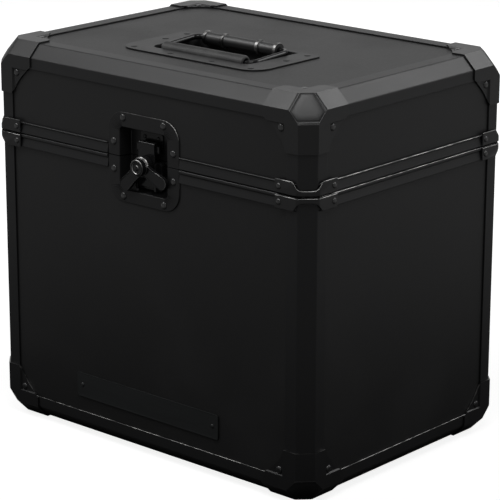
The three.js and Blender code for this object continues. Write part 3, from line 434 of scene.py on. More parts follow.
trim_nodes = [
    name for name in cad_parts
    if name.endswith("_rim") or "_post_" in name or "_valance_" in name
]
for name in trim_nodes:
    trim = sound_copy(name, "trim_" + name)
    low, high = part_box(name)
    across = 1 if "front" in name or "back" in name else 0
    outermost = max(high[across], -low[across])
    valance = "_valance_" in name
    eased_by_angle(
        trim, chamfer_ease, 3, blunt=38, square=58, square_share=edge_ease / chamfer_ease,
        broad=lambda place: valance and abs(place[across]) > outermost - face_slack,
    )
    material = trim_along_x
    if "_post_" in name:
        material = trim_upright
    elif valance and across == 0:
        material = trim_along_y
    finished(trim, name.split("_")[0], material, name)
    if valance and across == 0:
        # The upward lips of the side valances get the bright metal: partly wear, partly a painted
        # highlight line.
        rubbed_and_highlighted(trim, lambda place, normal: (
            abs(place[across]) > outermost - chamfer_ease
            and normal.z > 0.3 and abs(normal[across]) > 0.3
        ))
    if name.endswith("_rim"):
        trim.data.materials.append(trim_along_y)
        for face in trim.data.polygons:
            if abs(face.center.x) / high.x > abs(face.center.y) / high.y:
                face.material_index = 1
    if name == "base_rim":
        # The upper edge of the floor rim gets the bright metal: partly wear, partly a painted
        # highlight line.
        rubbed_and_highlighted(trim, lambda place, normal: normal.z > 0.3 and place.z > high.z - edge_ease)

# Corner caps
# Eight corners of 1.2 mm steel, drawn in a press and painted satin black. Three arms lap over
# the trims and stand proud, and between the arms each cap is set down to the board, where a
# domed rivet holds it.

corner_x = 0.1966
corner_y = 0.143
corner_low = 0.0015
corner_high = 0.3735
cap_wall = 0.0012
cap_proud = 0.0015
cap_reach = 0.051
cap_drop = 0.049
cap_chamfer = 0.012879
cap_facet = 0.031902 / 3
arm_of_post = 0.0265
arm_on_top = 0.0285
arm_on_side = 0.0240
set_down = 0.0015
press_slope = 0.965
press_radius = 0.0007
facet_radius = 0.0010
facet_crease = 0.0004
facet_crease_share = 0.9
facet_steps = ((0.0011, 0.00026), (0.0018, 0.00028), (0.0024, 0.00016))
sheet_edge_share = 0.72
side_scallop = ((0.09035, 0.08240), 0.07296)
top_scallop = ((0.08336, 0.08336), 0.06627)
scallop_depth = 0.016
scallop_middle = 0.002
cap_rivet_radius = 0.0034
cap_rivet_height = 0.0014
cap_rivet_across = 0.0315
cap_rivet_rise = 0.0285
cap_rivet_on_top = 0.0325
rivet_steps = ((0.94, 0.25), (0.82, 0.24), (0.62, 0.20), (0.34, 0.12))
rivet_rim_share = 0.35
touching = 0.00001

painted_black = (0.0074, 0.0074, 0.0077, 1)
painted_worn = (0.0420, 0.0420, 0.0430, 1)


def painted(name, rough, peel, ior):
    """Satin black paint on steel, with a slight orange peel and worn edges."""
    finish = Finish(name)
    place = finish.place()
    skin = finish.noise(place, scale=900.0, detail=2.0)
    cloud = finish.noise(place, scale=60.0, detail=4.0)
    edge = worn_edge(finish, 0.0006)
    return finish.principled(
        Base_Color=finish.blend(edge * cloud.between(0.42, 0.62) * 0.7, painted_black, painted_worn),
        Metallic=0.0, IOR=ior, Roughness=rough + cloud * 0.08 - edge * 0.04,
        Normal=finish.relief(skin, strength=peel, depth=0.00006),
    )


def settled(name):
    """The primitive just made, named, with its place, turn and scale applied."""
    bpy.ops.object.transform_apply(location=True, rotation=True, scale=True)
    piece = bpy.context.object
    piece.name = name
    return piece


def block(name, low, high):
    """A cube primitive stretched between two corners."""
    only(None)
    low, high = Vector(low), Vector(high)
    bpy.ops.mesh.primitive_cube_add(size=1, location=(low + high) / 2, scale=high - low)
    return settled(name)


def pick(piece, kind, test):
    """Enters edit mode with only what passes the test of place and direction selected."""
    only(piece)
    bpy.ops.object.mode_set(mode="EDIT")
    bpy.ops.mesh.select_mode(type=kind)
    bpy.ops.mesh.select_all(action="DESELECT")
    bpy.ops.object.mode_set(mode="OBJECT")
    mesh = piece.data
    if kind == "FACE":
        for face in mesh.polygons:
            face.select = test(face.center, face.normal)
    elif kind == "EDGE":
        for edge in mesh.edges:
            start, end = (mesh.vertices[i].co for i in edge.vertices)
            edge.select = test((start + end) / 2, (end - start).normalized())
    else:
        for vertex in mesh.vertices:
            vertex.select = test(vertex.co, vertex.normal)
    bpy.ops.object.mode_set(mode="EDIT")


def pulled(way):
    """Extrudes what is selected along a way."""
    bpy.ops.mesh.extrude_region_move(TRANSFORM_OT_translate={"value": way})


def scaled(shares, centre=(0, 0, 0)):
    """Scales what is selected about a centre."""
    bpy.ops.transform.resize(value=shares, center_override=centre)


def walled(piece, wall, offset=-1):
    """Gives a bare skin its wall."""
    return modified(piece, "SOLIDIFY", thickness=wall, offset=offset, use_even_offset=True)


def cut_from(piece, cutter):
    """Takes the cutter's shape out of a closed piece."""
    modified(piece, "BOOLEAN", object=cutter, operation="DIFFERENCE", solver="EXACT")
    bpy.data.objects.remove(cutter)
    return piece


def joined(name, *pieces):
    """One object made of several."""
    only(None)
    for piece in pieces:
        piece.select_set(True)
    bpy.context.view_layer.objects.active = pieces[0]
    bpy.ops.object.join()
    whole = bpy.context.object
    whole.name = name
    return whole


def copied(piece, name, place=Matrix.Identity(4)):
    """A copy with its own mesh in a new place, turned right side out where it is mirrored."""
    copy = piece.copy()
    copy.data = piece.data.copy()
    copy.name = name
    scene.collection.objects.link(copy)
    copy.data.transform(place)
    if place.determinant() < 0:
        copy.data.flip_normals()
    return copy


def laid(piece, place, direction=(0, 0, 1)):
    """Turns what stands on z to another direction and moves it to its place."""
    lean = Vector((0, 0, 1)).rotation_difference(Vector(direction)).to_matrix().to_4x4()
    piece.data.transform(Matrix.Translation(Vector(place)) @ lean)
    return piece


def rivet(name, radius, height):
    """A domed rivet head on the plane z = 0, drawn up from a disc in shrinking steps."""
    only(None)
    bpy.ops.mesh.primitive_cylinder_add(vertices=24, radius=radius, depth=height)
    head = settled(name)
    pick(head, "VERT", lambda place, normal: place.z > 0)
    bpy.ops.transform.translate(value=(0, 0, -height * rivet_rim_share))
    so_far = 1.0
    for share, rise in rivet_steps:
        pulled((0, 0, height * rise))
        scaled((share / so_far, share / so_far, 1))
        so_far = share
    return smoothed(head, 60)


def rivet_on(head, name, place, direction):
    """A copy of a rivet head that stands on a surface."""
    return laid(copied(head, name), place, direction)


cap_paint = painted("painted_caps", 0.33, 0.25, 1.38)
rivet_paint = painted("painted_rivets", 0.20, 0.10, 1.60)
big_rivet = rivet("big_rivet", cap_rivet_radius, cap_rivet_height)
dressed(big_rivet, rivet_paint)

far_ends = (cap_reach, cap_reach, cap_drop)
cap = block("cap", (-cap_proud,) * 3, far_ends)
pick(cap, "FACE", lambda place, normal: max(normal) > 0.5)
bpy.ops.mesh.delete(type="FACE")
pick(cap, "EDGE", lambda place, way: sum(abs(place[i] + cap_proud) < touching for i in range(3)) == 2)
bpy.ops.mesh.bevel(offset=cap_chamfer, segments=1, affect="EDGES")
pick(cap, "FACE", lambda place, normal: True)
bpy.ops.mesh.bisect(
    plane_co=(cap_facet,) * 3, plane_no=Vector((1, 1, 1)).normalized(),
    use_fill=True, clear_inner=True,
)

arm_lines = (
    (1, ((0, arm_of_post), (2, arm_on_side))),
    (0, ((1, arm_of_post), (2, arm_on_side))),
    (2, ((0, arm_on_top), (1, arm_on_top))),
)
for facing, lines in arm_lines:
    for axis, place_on_axis in lines:
        line_at = [0.0, 0.0, 0.0]
        line_at[axis] = place_on_axis
        across = [0.0, 0.0, 0.0]
        across[axis] = 1.0
        pick(cap, "FACE", lambda place, normal: normal[facing] < -0.99)
        bpy.ops.mesh.bisect(plane_co=line_at, plane_no=across)
for facing, ((first, first_line), (second, second_line)) in arm_lines:
    pick(cap, "FACE", lambda place, normal: (
        normal[facing] < -0.99 and place[first] > first_line and place[second] > second_line
    ))
    inward = [0.0, 0.0, 0.0]
    inward[facing] = set_down
    pulled(inward)
    slope = [press_slope] * 3
    slope[facing] = 1.0
    scaled(slope, far_ends)
pick(cap, "FACE", lambda place, normal: any(place[i] > far_ends[i] - 2 * touching for i in range(3)))
bpy.ops.mesh.delete(type="FACE")
walled(cap, cap_wall)


def scallop(centre, radius, facing):
    """A round cutter that hollows the free edge of a cap between two arms."""
    only(None)
    turns = {0: (0, math.pi / 2, 0), 1: (math.pi / 2, 0, 0), 2: (0, 0, 0)}
    place = list(centre)
    place.insert(facing, scallop_middle)
    bpy.ops.mesh.primitive_cylinder_add(
        vertices=200, radius=radius, depth=scallop_depth, rotation=turns[facing], location=place,
    )
    return settled("scallop")


cut_from(cap, scallop(*side_scallop, 1))
cut_from(cap, scallop(*side_scallop, 0))
cut_from(cap, scallop(*top_scallop, 2))
eased_by_angle(cap, facet_radius, 4, blunt=33, square=38, square_share=0)
eased_by_angle(cap, press_radius, 3, blunt=20, square=75, square_share=sheet_edge_share)
outwards_from_corner = Vector((-1, -1, -1)).normalized()
pick(cap, "FACE", lambda place, normal: (
    normal.dot(outwards_from_corner) > 0.99 and max(place) - min(place) < facet_radius
))
bpy.ops.mesh.inset(thickness=facet_crease, depth=-facet_crease * facet_crease_share)
bpy.ops.mesh.inset(thickness=facet_crease, depth=facet_crease * facet_crease_share)
for run, rise in facet_steps:
    bpy.ops.mesh.inset(thickness=run, depth=rise)
bpy.ops.object.mode_set(mode="OBJECT")
dressed(cap, cap_paint)
# The upper ends of the upright arm get the bright metal: partly wear, partly a painted highlight.
rubbed_and_highlighted(cap, lambda place, normal: normal.z > 0.2 and place.z > arm_on_side + set_down)
cap = joined(
    "cap", cap,
    rivet_on(big_rivet, "front_rivet", (cap_rivet_across, 0, cap_rivet_rise), (0, -1, 0)),
    rivet_on(big_rivet, "side_rivet", (0, cap_rivet_across, cap_rivet_rise), (-1, 0, 0)),
    rivet_on(big_rivet, "top_rivet", (cap_rivet_on_top, cap_rivet_on_top, 0), (0, 0, -1)),
)

corners = {
    "front_left": (-1, -1), "front_right": (1, -1), "rear_left": (-1, 1), "rear_right": (1, 1),
}


def at_each_corner(pattern, piece_name, node_name, base_level, lid_level, base_sign):
    """Copies a pattern to the corners of the base and, turned over, to those of the lid."""
    levels = (("base", base_level, base_sign), ("lid", lid_level, -base_sign))
    for corner, (sign_x, sign_y) in corners.items():
        for body, level, sign_z in levels:
            spot = Matrix.Translation((sign_x * corner_x, sign_y * corner_y, level))
            mirror = Matrix.Diagonal((-sign_x, -sign_y, sign_z, 1))
            copy = copied(pattern, f"{piece_name}_{body}_{corner}", spot @ mirror)
            finished(copy, body, None, f"{body}_{node_name}_{corner}")
    bpy.data.objects.remove(pattern)


at_each_corner(cap, "pressed_cap", "cap", corner_low, corner_high, 1)

# Corner braces
# A bent strip on each side of the parting line laps over the mitre of the valances. Its edge
# away from the line is scooped out round the corner, and a rivet holds each end.

parting = 0.2866
brace_gap = 0.001
brace_outer = 0.0025
brace_wall = 0.0013
brace_reach = 0.0366
brace_height = 0.0124
brace_chamfer = 0.013465
brace_bend = 0.002
brace_ease = 0.0008
brace_ease_share = 0.4
brace_flat = brace_chamfer - 2 * brace_outer
outer_face_share = 0.76
outer_wall_share = 0.7
scoop_depth = 0.0077
scoop_reach = 0.04
scoop_profile = (
    (0.0045, 0), (0.0074, 0.0006), (0.0094, 0.0018), (0.0108, 0.0037), (0.0118, 0.0055),
    (0.0126, 0.0069), (0.0136, 0.0077), (0.0136, 0.0100),
)
brace_rivet_radius = 0.0028
brace_rivet_height = 0.0012
brace_rivet_across = 0.032
brace_rivet_rise = 0.006


def rounded(piece, width, steps, crease):
    """Rounds every edge that bends more than the crease, in degrees."""
    return modified(
        piece, "BEVEL", width=width, segments=steps, limit_method="ANGLE",
        angle_limit=math.radians(crease), use_clamp_overlap=False,
    )


brace = block("brace", (-brace_outer, -brace_outer, 0), (brace_reach, brace_reach, brace_height))
pick(brace, "FACE", lambda place, normal: max(normal) > 0.5 or normal.z < -0.5)
bpy.ops.mesh.delete(type="FACE")
pick(brace, "EDGE", lambda place, way: place.x < 0 and place.y < 0)
bpy.ops.mesh.bevel(offset=brace_chamfer, segments=1, affect="EDGES")
rounded(brace, brace_bend, 4, 28)
walled(brace, brace_wall)
scoop_bottom = brace_height - scoop_depth
half, rise = scoop_profile[1]
scoop = block(
    "scoop", (-half, -scoop_reach, scoop_bottom), (half, scoop_reach, scoop_bottom + rise),
)
pick(scoop, "FACE", lambda place, normal: normal.z < -0.9)
scaled((scoop_profile[0][0] / half, 1, 1))
pick(scoop, "FACE", lambda place, normal: normal.z > 0.9)
for (half_before, rise_before), (half, rise) in zip(scoop_profile[1:], scoop_profile[2:]):
    pulled((0, 0, rise - rise_before))
    scaled((half / half_before, 1, 1))
bpy.ops.object.mode_set(mode="OBJECT")
scoop.data.transform(Matrix.Rotation(-math.pi / 4, 4, "Z"))
cut_from(brace, scoop)
eased_by_angle(
    brace, brace_ease, 3, blunt=55, square=55, square_share=brace_ease_share,
    broad=lambda place: (
        min(place.x, place.y) < brace_outer * -outer_face_share
        or place.x + place.y < brace_flat + brace_wall * outer_wall_share
    ),
)
dressed(brace, cap_paint)
# The outer edges of the brace get the bright metal: partly wear, partly a painted highlight line.
rubbed_and_highlighted(brace, lambda place, normal: abs(normal.z) > 0.3 and normal.x + normal.y < -0.3)
brace_rivet = rivet("brace_rivet", brace_rivet_radius, brace_rivet_height)
dressed(brace_rivet, rivet_paint)
brace_rivet_places = (
    ("front_rivet", (brace_rivet_across, -brace_outer, brace_rivet_rise), (0, -1, 0)),
    ("side_rivet", (-brace_outer, brace_rivet_across, brace_rivet_rise), (-1, 0, 0)),
)
brace = joined("brace", brace, *[rivet_on(brace_rivet, *spot) for spot in brace_rivet_places])
at_each_corner(brace, "bent_brace", "brace", parting - brace_gap, parting + brace_gap, -1)
bpy.data.objects.remove(brace_rivet)

# Latch dish
# One dish pressed from 1 mm steel sheet and painted a little duller than the caps, then sawn
# through at the parting line. Eight domed rivets hold it. The lower half carries a plate with
# two guide rails and the stud that the butterfly turns on.

front_plane = -0.143
dish_half = 0.0445
dish_low = 0.2439
dish_high = 0.3289
dish_round = 0.019
flange_sunk = 0.0002
dish_front = front_plane + flange_sunk
dish_wall = 0.001
recess_half = 0.030
recess_low = 0.2559
recess_high = 0.3149
recess_depth = 0.013
recess_draft = 0.003
recess_lip = 0.0008
flange_edge = 0.0007
upper_half_low = 0.2870
lower_half_high = 0.2862
dish_rivets_across = 0.0254
dish_rivets_inset = 0.0055
dish_rivets_side = 0.0373
dish_rivets_rise = 0.013
plate_front = front_plane + 0.0068
plate_half = 0.017
plate_low = 0.2590
plate_high = 0.2852
plate_corner = 0.002
plate_rim = 0.0022
plate_sunk = 0.0005
plate_ease = 0.0004
rail_inside = 0.0105
rail_outside = 0.0131
rail_front = front_plane + 0.003
rail_root = 0.0008
rail_end_inset = 0.0002
rail_ease = 0.0005
stud_radius = 0.0036
stud_height = 0.2819
stud_front = front_plane - 0.006
stud_root = 0.001
stud_chamfer = 0.0006
small_rivet_radius = 0.0020
small_rivet_height = 0.0009

black_nickel = (0.0070, 0.0070, 0.0074, 1)
black_nickel_rubbed = (0.12, 0.118, 0.115, 1)


def nickelled(name, rough):
    """Black nickel over zinc or steel: glossy, finely scuffed and worn through on its edges."""
    finish = Finish(name)
    place = finish.place()
    scuffs = finish.noise(place, scale=420.0, detail=4.0)
    cloud = finish.noise(place, scale=90.0, detail=3.0)
    rub = worn_edge(finish, 0.0004) * cloud.between(0.46, 0.66) * 0.8
    return finish.principled(
        Base_Color=finish.blend(rub, black_nickel, black_nickel_rubbed),
        Metallic=0.0, IOR=1.27, Roughness=rough + scuffs * 0.06 + cloud * 0.04,
        Normal=finish.relief(scuffs, strength=0.10, depth=0.00003),
    )


def eased(piece, width, steps=2, crease=30):
    """Rounds the edges that bend more than the crease, and shades the piece smooth."""
    return smoothed(rounded(piece, width, steps, crease))


def turned(name, profile, sides=48):
    """A lathe shape about z, a disc drawn through pairs of radius and height."""
    only(None)
    radius, height = profile[0]
    bpy.ops.mesh.primitive_circle_add(
        vertices=sides, radius=radius, fill_type="NGON", location=(0, 0, height),
    )
    piece = settled(name)
    bpy.ops.object.mode_set(mode="EDIT")
    bpy.ops.mesh.select_all(action="SELECT")
    for (radius_before, height_before), (radius, height) in zip(profile, profile[1:]):
        share = radius / radius_before
        pulled((0, 0, height - height_before))
        scaled((share, share, 1))
    bpy.ops.mesh.select_all(action="SELECT")
    bpy.ops.mesh.normals_make_consistent(inside=False)
    bpy.ops.object.mode_set(mode="OBJECT")
    return piece


def half_of(piece, name, height, below):
    """A copy of a closed piece cut off level, with the cut closed."""
    half = copied(piece, name)
    pick(half, "FACE", lambda place, normal: True)
    bpy.ops.mesh.bisect(
        plane_co=(0, 0, height), plane_no=(0, 0, 1), use_fill=True,
        clear_outer=below, clear_inner=not below,
    )
    bpy.ops.object.mode_set(mode="OBJECT")
    return half


nickel = nickelled("black_nickel", 0.13)
dish_paint = painted("painted_dishes", 0.38, 0.20, 1.33)
small_rivet = rivet("small_rivet", small_rivet_radius, small_rivet_height)
outwards = (0, -1, 0)
dish_middle = (dish_low + dish_high) / 2
recess_middle = (recess_low + recess_high) / 2
flange_width = dish_half - recess_half
inset_half = (dish_high - dish_low) / 2 - flange_width

only(None)
bpy.ops.mesh.primitive_plane_add(
    size=1, rotation=(math.pi / 2, 0, 0), location=(0, dish_front, dish_middle),
)
bpy.ops.transform.resize(value=(2 * dish_half, 1, dish_high - dish_low))
dish = settled("dish")
bpy.ops.object.mode_set(mode="EDIT")
bpy.ops.mesh.select_all(action="SELECT")
bpy.ops.mesh.bevel(offset=dish_round, segments=9, affect="VERTICES")
bpy.ops.mesh.select_all(action="SELECT")
bpy.ops.mesh.inset(thickness=flange_width)
scaled((1, 1, (recess_high - recess_low) / 2 / inset_half), (0, 0, dish_middle))
bpy.ops.transform.translate(value=(0, 0, recess_middle - dish_middle))
pulled((0, recess_depth - flange_sunk, 0))
scaled(
    (1 - recess_draft / recess_half, 1, 1 - recess_draft / (recess_high - recess_low) * 2),
    (0, 0, recess_middle),
)
rounded(dish, recess_lip, 3, 40)
walled(dish, dish_wall)


def off_recess(place):
    """How far a place on the flange lies outside the recess."""
    return max(abs(place.x) - recess_half, recess_low - place.z, place.z - recess_high)


pick(dish, "EDGE", lambda place, way: (
    abs(place.y - dish_front) < touching and off_recess(place) > 3 * recess_lip
))
bpy.ops.mesh.bevel(offset=flange_edge, segments=3, affect="EDGES")
bpy.ops.object.mode_set(mode="OBJECT")
upper_dish = half_of(dish, "latch_dish_above", upper_half_low, False)
lower_dish = half_of(dish, "latch_dish_below", lower_half_high, True)
bpy.data.objects.remove(dish)
for half in (upper_dish, lower_dish):
    smoothed(half, 35)
    dressed(half, dish_paint)
    # The flange's rounded edge where it faces up and to the right gets the bright metal: partly wear,
    # partly a painted highlight.
    rubbed_and_highlighted(half, lambda place, normal: (
        place.y < dish_front + flange_edge and normal.y < -0.25 and normal.x + normal.z > 0.8
        and off_recess(place) > 3 * recess_lip
    ))


def dish_rivet_heads(name, end_height, side_height):
    """The four rivet heads of one half of the dish."""
    places = (
        (-dish_rivets_across, end_height), (dish_rivets_across, end_height),
        (-dish_rivets_side, side_height), (dish_rivets_side, side_height),
    )
    return [
        rivet_on(big_rivet, f"{name}_{number}", (across, dish_front, height), outwards)
        for number, (across, height) in enumerate(places)
    ]


upper_dish = joined(
    "latch_dish_above", upper_dish,
    *dish_rivet_heads("upper_head", dish_high - dish_rivets_inset, parting + dish_rivets_rise),
)
finished(upper_dish, "lid", None, "latch_dish_upper")
lower_dish = joined(
    "latch_dish_below", lower_dish,
    *dish_rivet_heads("lower_head", dish_low + dish_rivets_inset, parting - dish_rivets_rise),
)

latch_plate = block(
    "latch_plate", (-plate_half, plate_front, plate_low),
    (plate_half, front_plane + recess_depth, plate_high),
)
pick(latch_plate, "EDGE", lambda place, way: abs(way.y) > 0.9)
bpy.ops.mesh.bevel(offset=plate_corner, segments=4, affect="EDGES")
pick(latch_plate, "FACE", lambda place, normal: normal.y < -0.9)
bpy.ops.mesh.inset(thickness=plate_rim)
bpy.ops.transform.translate(value=(0, plate_sunk, 0))
eased(latch_plate, plate_ease)
rails = []
for sign in (-1, 1):
    near, far = sorted((sign * rail_inside, sign * rail_outside))
    rail = block(
        f"rail_{sign + 1}", (near, rail_front, plate_low), (far, plate_front + rail_root, plate_high),
    )
    pick(rail, "FACE", lambda place, normal: normal.z > 0.9 or normal.z < -0.9)
    bpy.ops.mesh.inset(thickness=rail_end_inset)
    rails.append(eased(rail, rail_ease))
stud_length = plate_front + stud_root - stud_front
stud = turned("stud", (
    (stud_radius, 0), (stud_radius, stud_length - stud_chamfer),
    (stud_radius - stud_chamfer, stud_length),
), 32)
laid(smoothed(stud), (0, plate_front + stud_root, stud_height), outwards)
latch_seat = joined("latch_seat", latch_plate, *rails, stud)
dressed(latch_seat, nickel)
lower_dish = joined("latch_dish_below", lower_dish, latch_seat)
finished(lower_dish, "base", None, "latch_dish_lower")

# Keeper and hook
# The keeper is a plate riveted to the floor of the upper half, with a shelf whose edge turns
# up. The hook is a bent steel strip that slides between the rails, with a slot for the stud,
# and its claw comes down behind that edge. Both are black nickelled.

keeper_half = 0.014
keeper_back = front_plane + 0.0127
keeper_plate_front = front_plane + 0.0119
keeper_low = 0.2930
keeper_high = 0.3112
keeper_edge_top = 0.3010
keeper_edge_front = front_plane + 0.0066
keeper_wall = 0.0018
keeper_round = 0.0025
keeper_fold = 0.0020
keeper_ease = 0.00025
keeper_rivets_across = 0.0085
keeper_rivets_height = 0.3066
hook_half = 0.010
hook_wall = 0.002
hook_front = front_plane + 0.0043
hook_low = 0.2620
hook_high = 0.3039
hook_fold = 0.0022
hook_ease = 0.0003
claw_back = front_plane + 0.0107
claw_low = 0.2971
slot_half = 0.0039
slot_low = 0.2704
slot_high = 0.2858
slot_depth = 0.02
slot_round_share = 0.98


def folded(name, points, half_width, wall, fold):
    """A strip drawn along points of its outer face, in y and z, then folded and given its wall."""
    only(None)
    bpy.ops.mesh.primitive_plane_add(size=2)
    piece = settled(name)
    bpy.ops.object.mode_set(mode="EDIT")
    bpy.ops.mesh.select_all(action="SELECT")
    scaled((half_width, 1, 1))
    for end, (depth, height) in ((1, points[0]), (-1, points[1])):
        pick(piece, "VERT", lambda place, normal: (
            abs(place.y - end) < 10 * touching and abs(place.z) < 10 * touching
        ))
        bpy.ops.transform.translate(value=(0, depth - end, height))
    for (depth_before, height_before), (depth, height) in zip(points[1:], points[2:]):
        pick(piece, "EDGE", lambda place, way: (
            abs(way.x) > 0.9 and abs(place.y - depth_before) < touching
            and abs(place.z - height_before) < touching
        ))
        pulled((0, depth - depth_before, height - height_before))
    rounded(piece, fold, 4, 20)
    walled(piece, wall, offset=1)
    only(piece)
    bpy.ops.object.mode_set(mode="EDIT")
    bpy.ops.mesh.select_all(action="SELECT")
    bpy.ops.mesh.normals_make_consistent(inside=False)
    bpy.ops.object.mode_set(mode="OBJECT")
    return piece


def added_to(piece, other):
    """Joins another closed solid to a piece and takes away what is inside."""
    modified(piece, "BOOLEAN", object=other, operation="UNION", solver="EXACT")
    bpy.data.objects.remove(other)
    return piece


keeper_plate = block(
    "keeper_plate", (-keeper_half, keeper_plate_front, keeper_low),
    (keeper_half, keeper_back, keeper_high),
)
pick(keeper_plate, "EDGE", lambda place, way: abs(way.y) > 0.9 and place.z > keeper_low + 0.001)
bpy.ops.mesh.bevel(offset=keeper_round, segments=5, affect="EDGES")
keeper_shelf = folded("keeper_shelf", (
    (keeper_back, keeper_low), (keeper_edge_front, keeper_low), (keeper_edge_front, keeper_edge_top),
), keeper_half, keeper_wall, keeper_fold)
added_to(keeper_plate, keeper_shelf)
keeper_heads = [
    rivet_on(
        small_rivet, f"keeper_head_{number}", (across, keeper_plate_front, keeper_rivets_height),
        outwards,
    )
    for number, across in enumerate((-keeper_rivets_across, keeper_rivets_across))
]
keeper = joined("hook_keeper", eased(keeper_plate, keeper_ease, crease=50), *keeper_heads)
finished(keeper, "lid", nickel, "latch_keeper")

hook = folded("sliding_hook", (
    (hook_front, hook_low), (hook_front, hook_high), (claw_back, hook_high), (claw_back, claw_low),
), hook_half, hook_wall, hook_fold)
slot = block(
    "slot", (-slot_half, front_plane, slot_low), (slot_half, front_plane + slot_depth, slot_high),
)
pick(slot, "EDGE", lambda place, way: abs(way.y) > 0.9)
bpy.ops.mesh.bevel(offset=slot_half * slot_round_share, segments=8, affect="EDGES")
cut_from(hook, slot)
eased(hook, hook_ease, crease=50)
finished(hook, "hook", nickel, "latch_hook")

# Butterfly
# A die-cast hub with two paddle wings, black nickelled. It turns on the stud and drives the
# hook up and down. The wings have a raised rim round a shallow face.

hub_radius = 0.008
hub_front = front_plane - 0.0094
hub_round = 0.0016
hub_dimple = 0.0009
stud_end_radius = 0.0024
stud_end_shoulder = 0.0006
stud_end_crown = 0.0002
hub_foot_radius = 0.0096
hub_foot_front = front_plane - 0.0036
hub_foot_round = 0.001
hub_back = front_plane + 0.0037
hub_bore = 0.0039
hub_bore_end = front_plane - 0.0063
hub_overrun = 0.001
hub_ease = 0.0005
wing_front = front_plane - 0.0046
wing_back = front_plane - 0.0006
wing_reach = 0.0279
wing_half_angle = 56
wing_rest_turn = 11
wing_tip_radius = 0.0062
wing_rim = 0.0014
wing_hollow = 0.0006
wing_sections = ((0.0215, 0.00585), (0.0150, 0.00545), (0.0085, 0.00560), (0.0015, 0.00700))

hub_height = hub_back - hub_front
foot_height = hub_back - hub_foot_front
hub = turned("cast_butterfly", (
    (hub_foot_radius, 0), (hub_foot_radius, foot_height - hub_foot_round),
    (hub_foot_radius - hub_foot_round, foot_height), (hub_radius, foot_height),
    (hub_radius, hub_height - hub_round),
    (hub_radius - hub_round * 0.10, hub_height - hub_round * 0.56),
    (hub_radius - hub_round * 0.38, hub_height - hub_round * 0.20),
    (hub_radius - hub_round, hub_height - hub_round * 0.02),
    (hub_radius * 0.70, hub_height), (hub_radius * 0.62, hub_height - hub_dimple),
    (stud_end_radius, hub_height - hub_dimple), (stud_end_radius, hub_height - stud_end_shoulder),
    (stud_end_radius * 0.8, hub_height - stud_end_crown), (stud_end_radius * 0.45, hub_height),
), 64)
laid(hub, (0, hub_back, stud_height), outwards)
for sign in (1, -1):
    only(None)
    bpy.ops.mesh.primitive_cylinder_add(
        vertices=40, radius=wing_tip_radius, depth=wing_back - wing_front,
        rotation=(math.pi / 2, 0, 0), location=(wing_reach, (wing_front + wing_back) / 2, 0),
    )
    wing = settled("wing")
    pick(wing, "FACE", lambda place, normal: normal.x < -0.01)
    half_before = wing_tip_radius
    reach_before = wing_sections[0][0]
    pulled((0, 0, 0))
    scaled((0, 1, 1), (reach_before, 0, 0))
    for reach, half in wing_sections:
        if reach != reach_before:
            pulled((reach - reach_before, 0, 0))
        scaled((1, 1, half / half_before))
        half_before = half
        reach_before = reach
    bpy.ops.mesh.select_all(action="SELECT")
    bpy.ops.mesh.remove_doubles(threshold=touching / 2)
    bpy.ops.mesh.normals_make_consistent(inside=False)
    bpy.ops.mesh.dissolve_limited(angle_limit=math.radians(0.5))
    pick(wing, "FACE", lambda place, normal: normal.y < -0.9)
    bpy.ops.mesh.inset(thickness=wing_rim)
    bpy.ops.transform.translate(value=(0, wing_hollow, 0))
    bpy.ops.object.mode_set(mode="OBJECT")
    droop = math.radians(90 - wing_half_angle - sign * wing_rest_turn)
    wing.data.transform(Matrix.Rotation(droop, 4, "Y"))
    if sign < 0:
        wing.data.transform(Matrix.Diagonal((-1, 1, 1, 1)))
        wing.data.flip_normals()
    wing.data.transform(Matrix.Translation((0, 0, stud_height)))
    added_to(hub, wing)
bore = turned("bore", ((hub_bore, 0), (hub_bore, hub_back + hub_overrun - hub_bore_end)))
cut_from(hub, laid(bore, (0, hub_back + hub_overrun, stud_height), outwards))
butterfly = eased(hub, hub_ease, 3, 32)
dressed(butterfly, nickel)
# The sloping edges of the hub and wings get the bright metal: partly wear, partly a painted highlight.
rubbed_and_highlighted(butterfly, lambda place, normal: 0.30 < -normal.y < 0.88)
finished(butterfly, "butterfly", None, "latch_butterfly")

# Handle dish
# A second pressed dish let into the top, deep enough for fingers. Along its rear edge stands
# the barrel that the handle turns in, a tube with four collars, on a folded seat.

top_face = 0.3733
handle_flange_half = 0.087
handle_flange_front = -0.087
handle_flange_rear = 0.005
handle_flange_round = 0.020
handle_flange_cut = 0.003
handle_dish_ease = 0.0004
pan_half = 0.062
pan_front = -0.069
pan_rear = -0.0024
pan_ear_front = -0.03
pan_ear_rear = 0.0015
pan_ear_half = 0.0475
pan_ear_share = 0.98
pan_round = 0.010
pan_floor = 0.3563
pan_draft = 0.004
pan_over = 0.002
pan_under = 0.0004
pivot_y = -0.007
pivot_z = 0.3746
barrel_half = 0.0456
barrel_radius = 0.0056
barrel_bore = 0.00305
barrel_bore_start = 0.0275
barrel_bore_length = 0.02
barrel_ease = 0.0004
collar_radius = 0.0070
collar_places = (0.0440, 0.0220)
collar_half = 0.0018
collar_slack = 0.0002
seat_half = 0.0465
seat_rear = -0.0014
seat_low = 0.3667
seat_sunk = 0.0002
flat_rivet_radius = 0.0032
flat_rivet_height = 0.0006
handle_rivets = ((0.073, -0.078), (0.026, -0.078), (0.07575, -0.032), (0.07575, -0.002))

flange = block(
    "flange", (-handle_flange_half, handle_flange_front, top_face - dish_wall),
    (handle_flange_half, handle_flange_rear, top_face),
)
pick(flange, "EDGE", lambda place, way: abs(way.z) > 0.9 and place.y < 0)
bpy.ops.mesh.bevel(offset=handle_flange_round, segments=9, affect="EDGES")
pick(flange, "EDGE", lambda place, way: abs(way.z) > 0.9 and place.y > handle_flange_rear - 0.0001)
bpy.ops.mesh.bevel(offset=handle_flange_cut, segments=1, affect="EDGES")


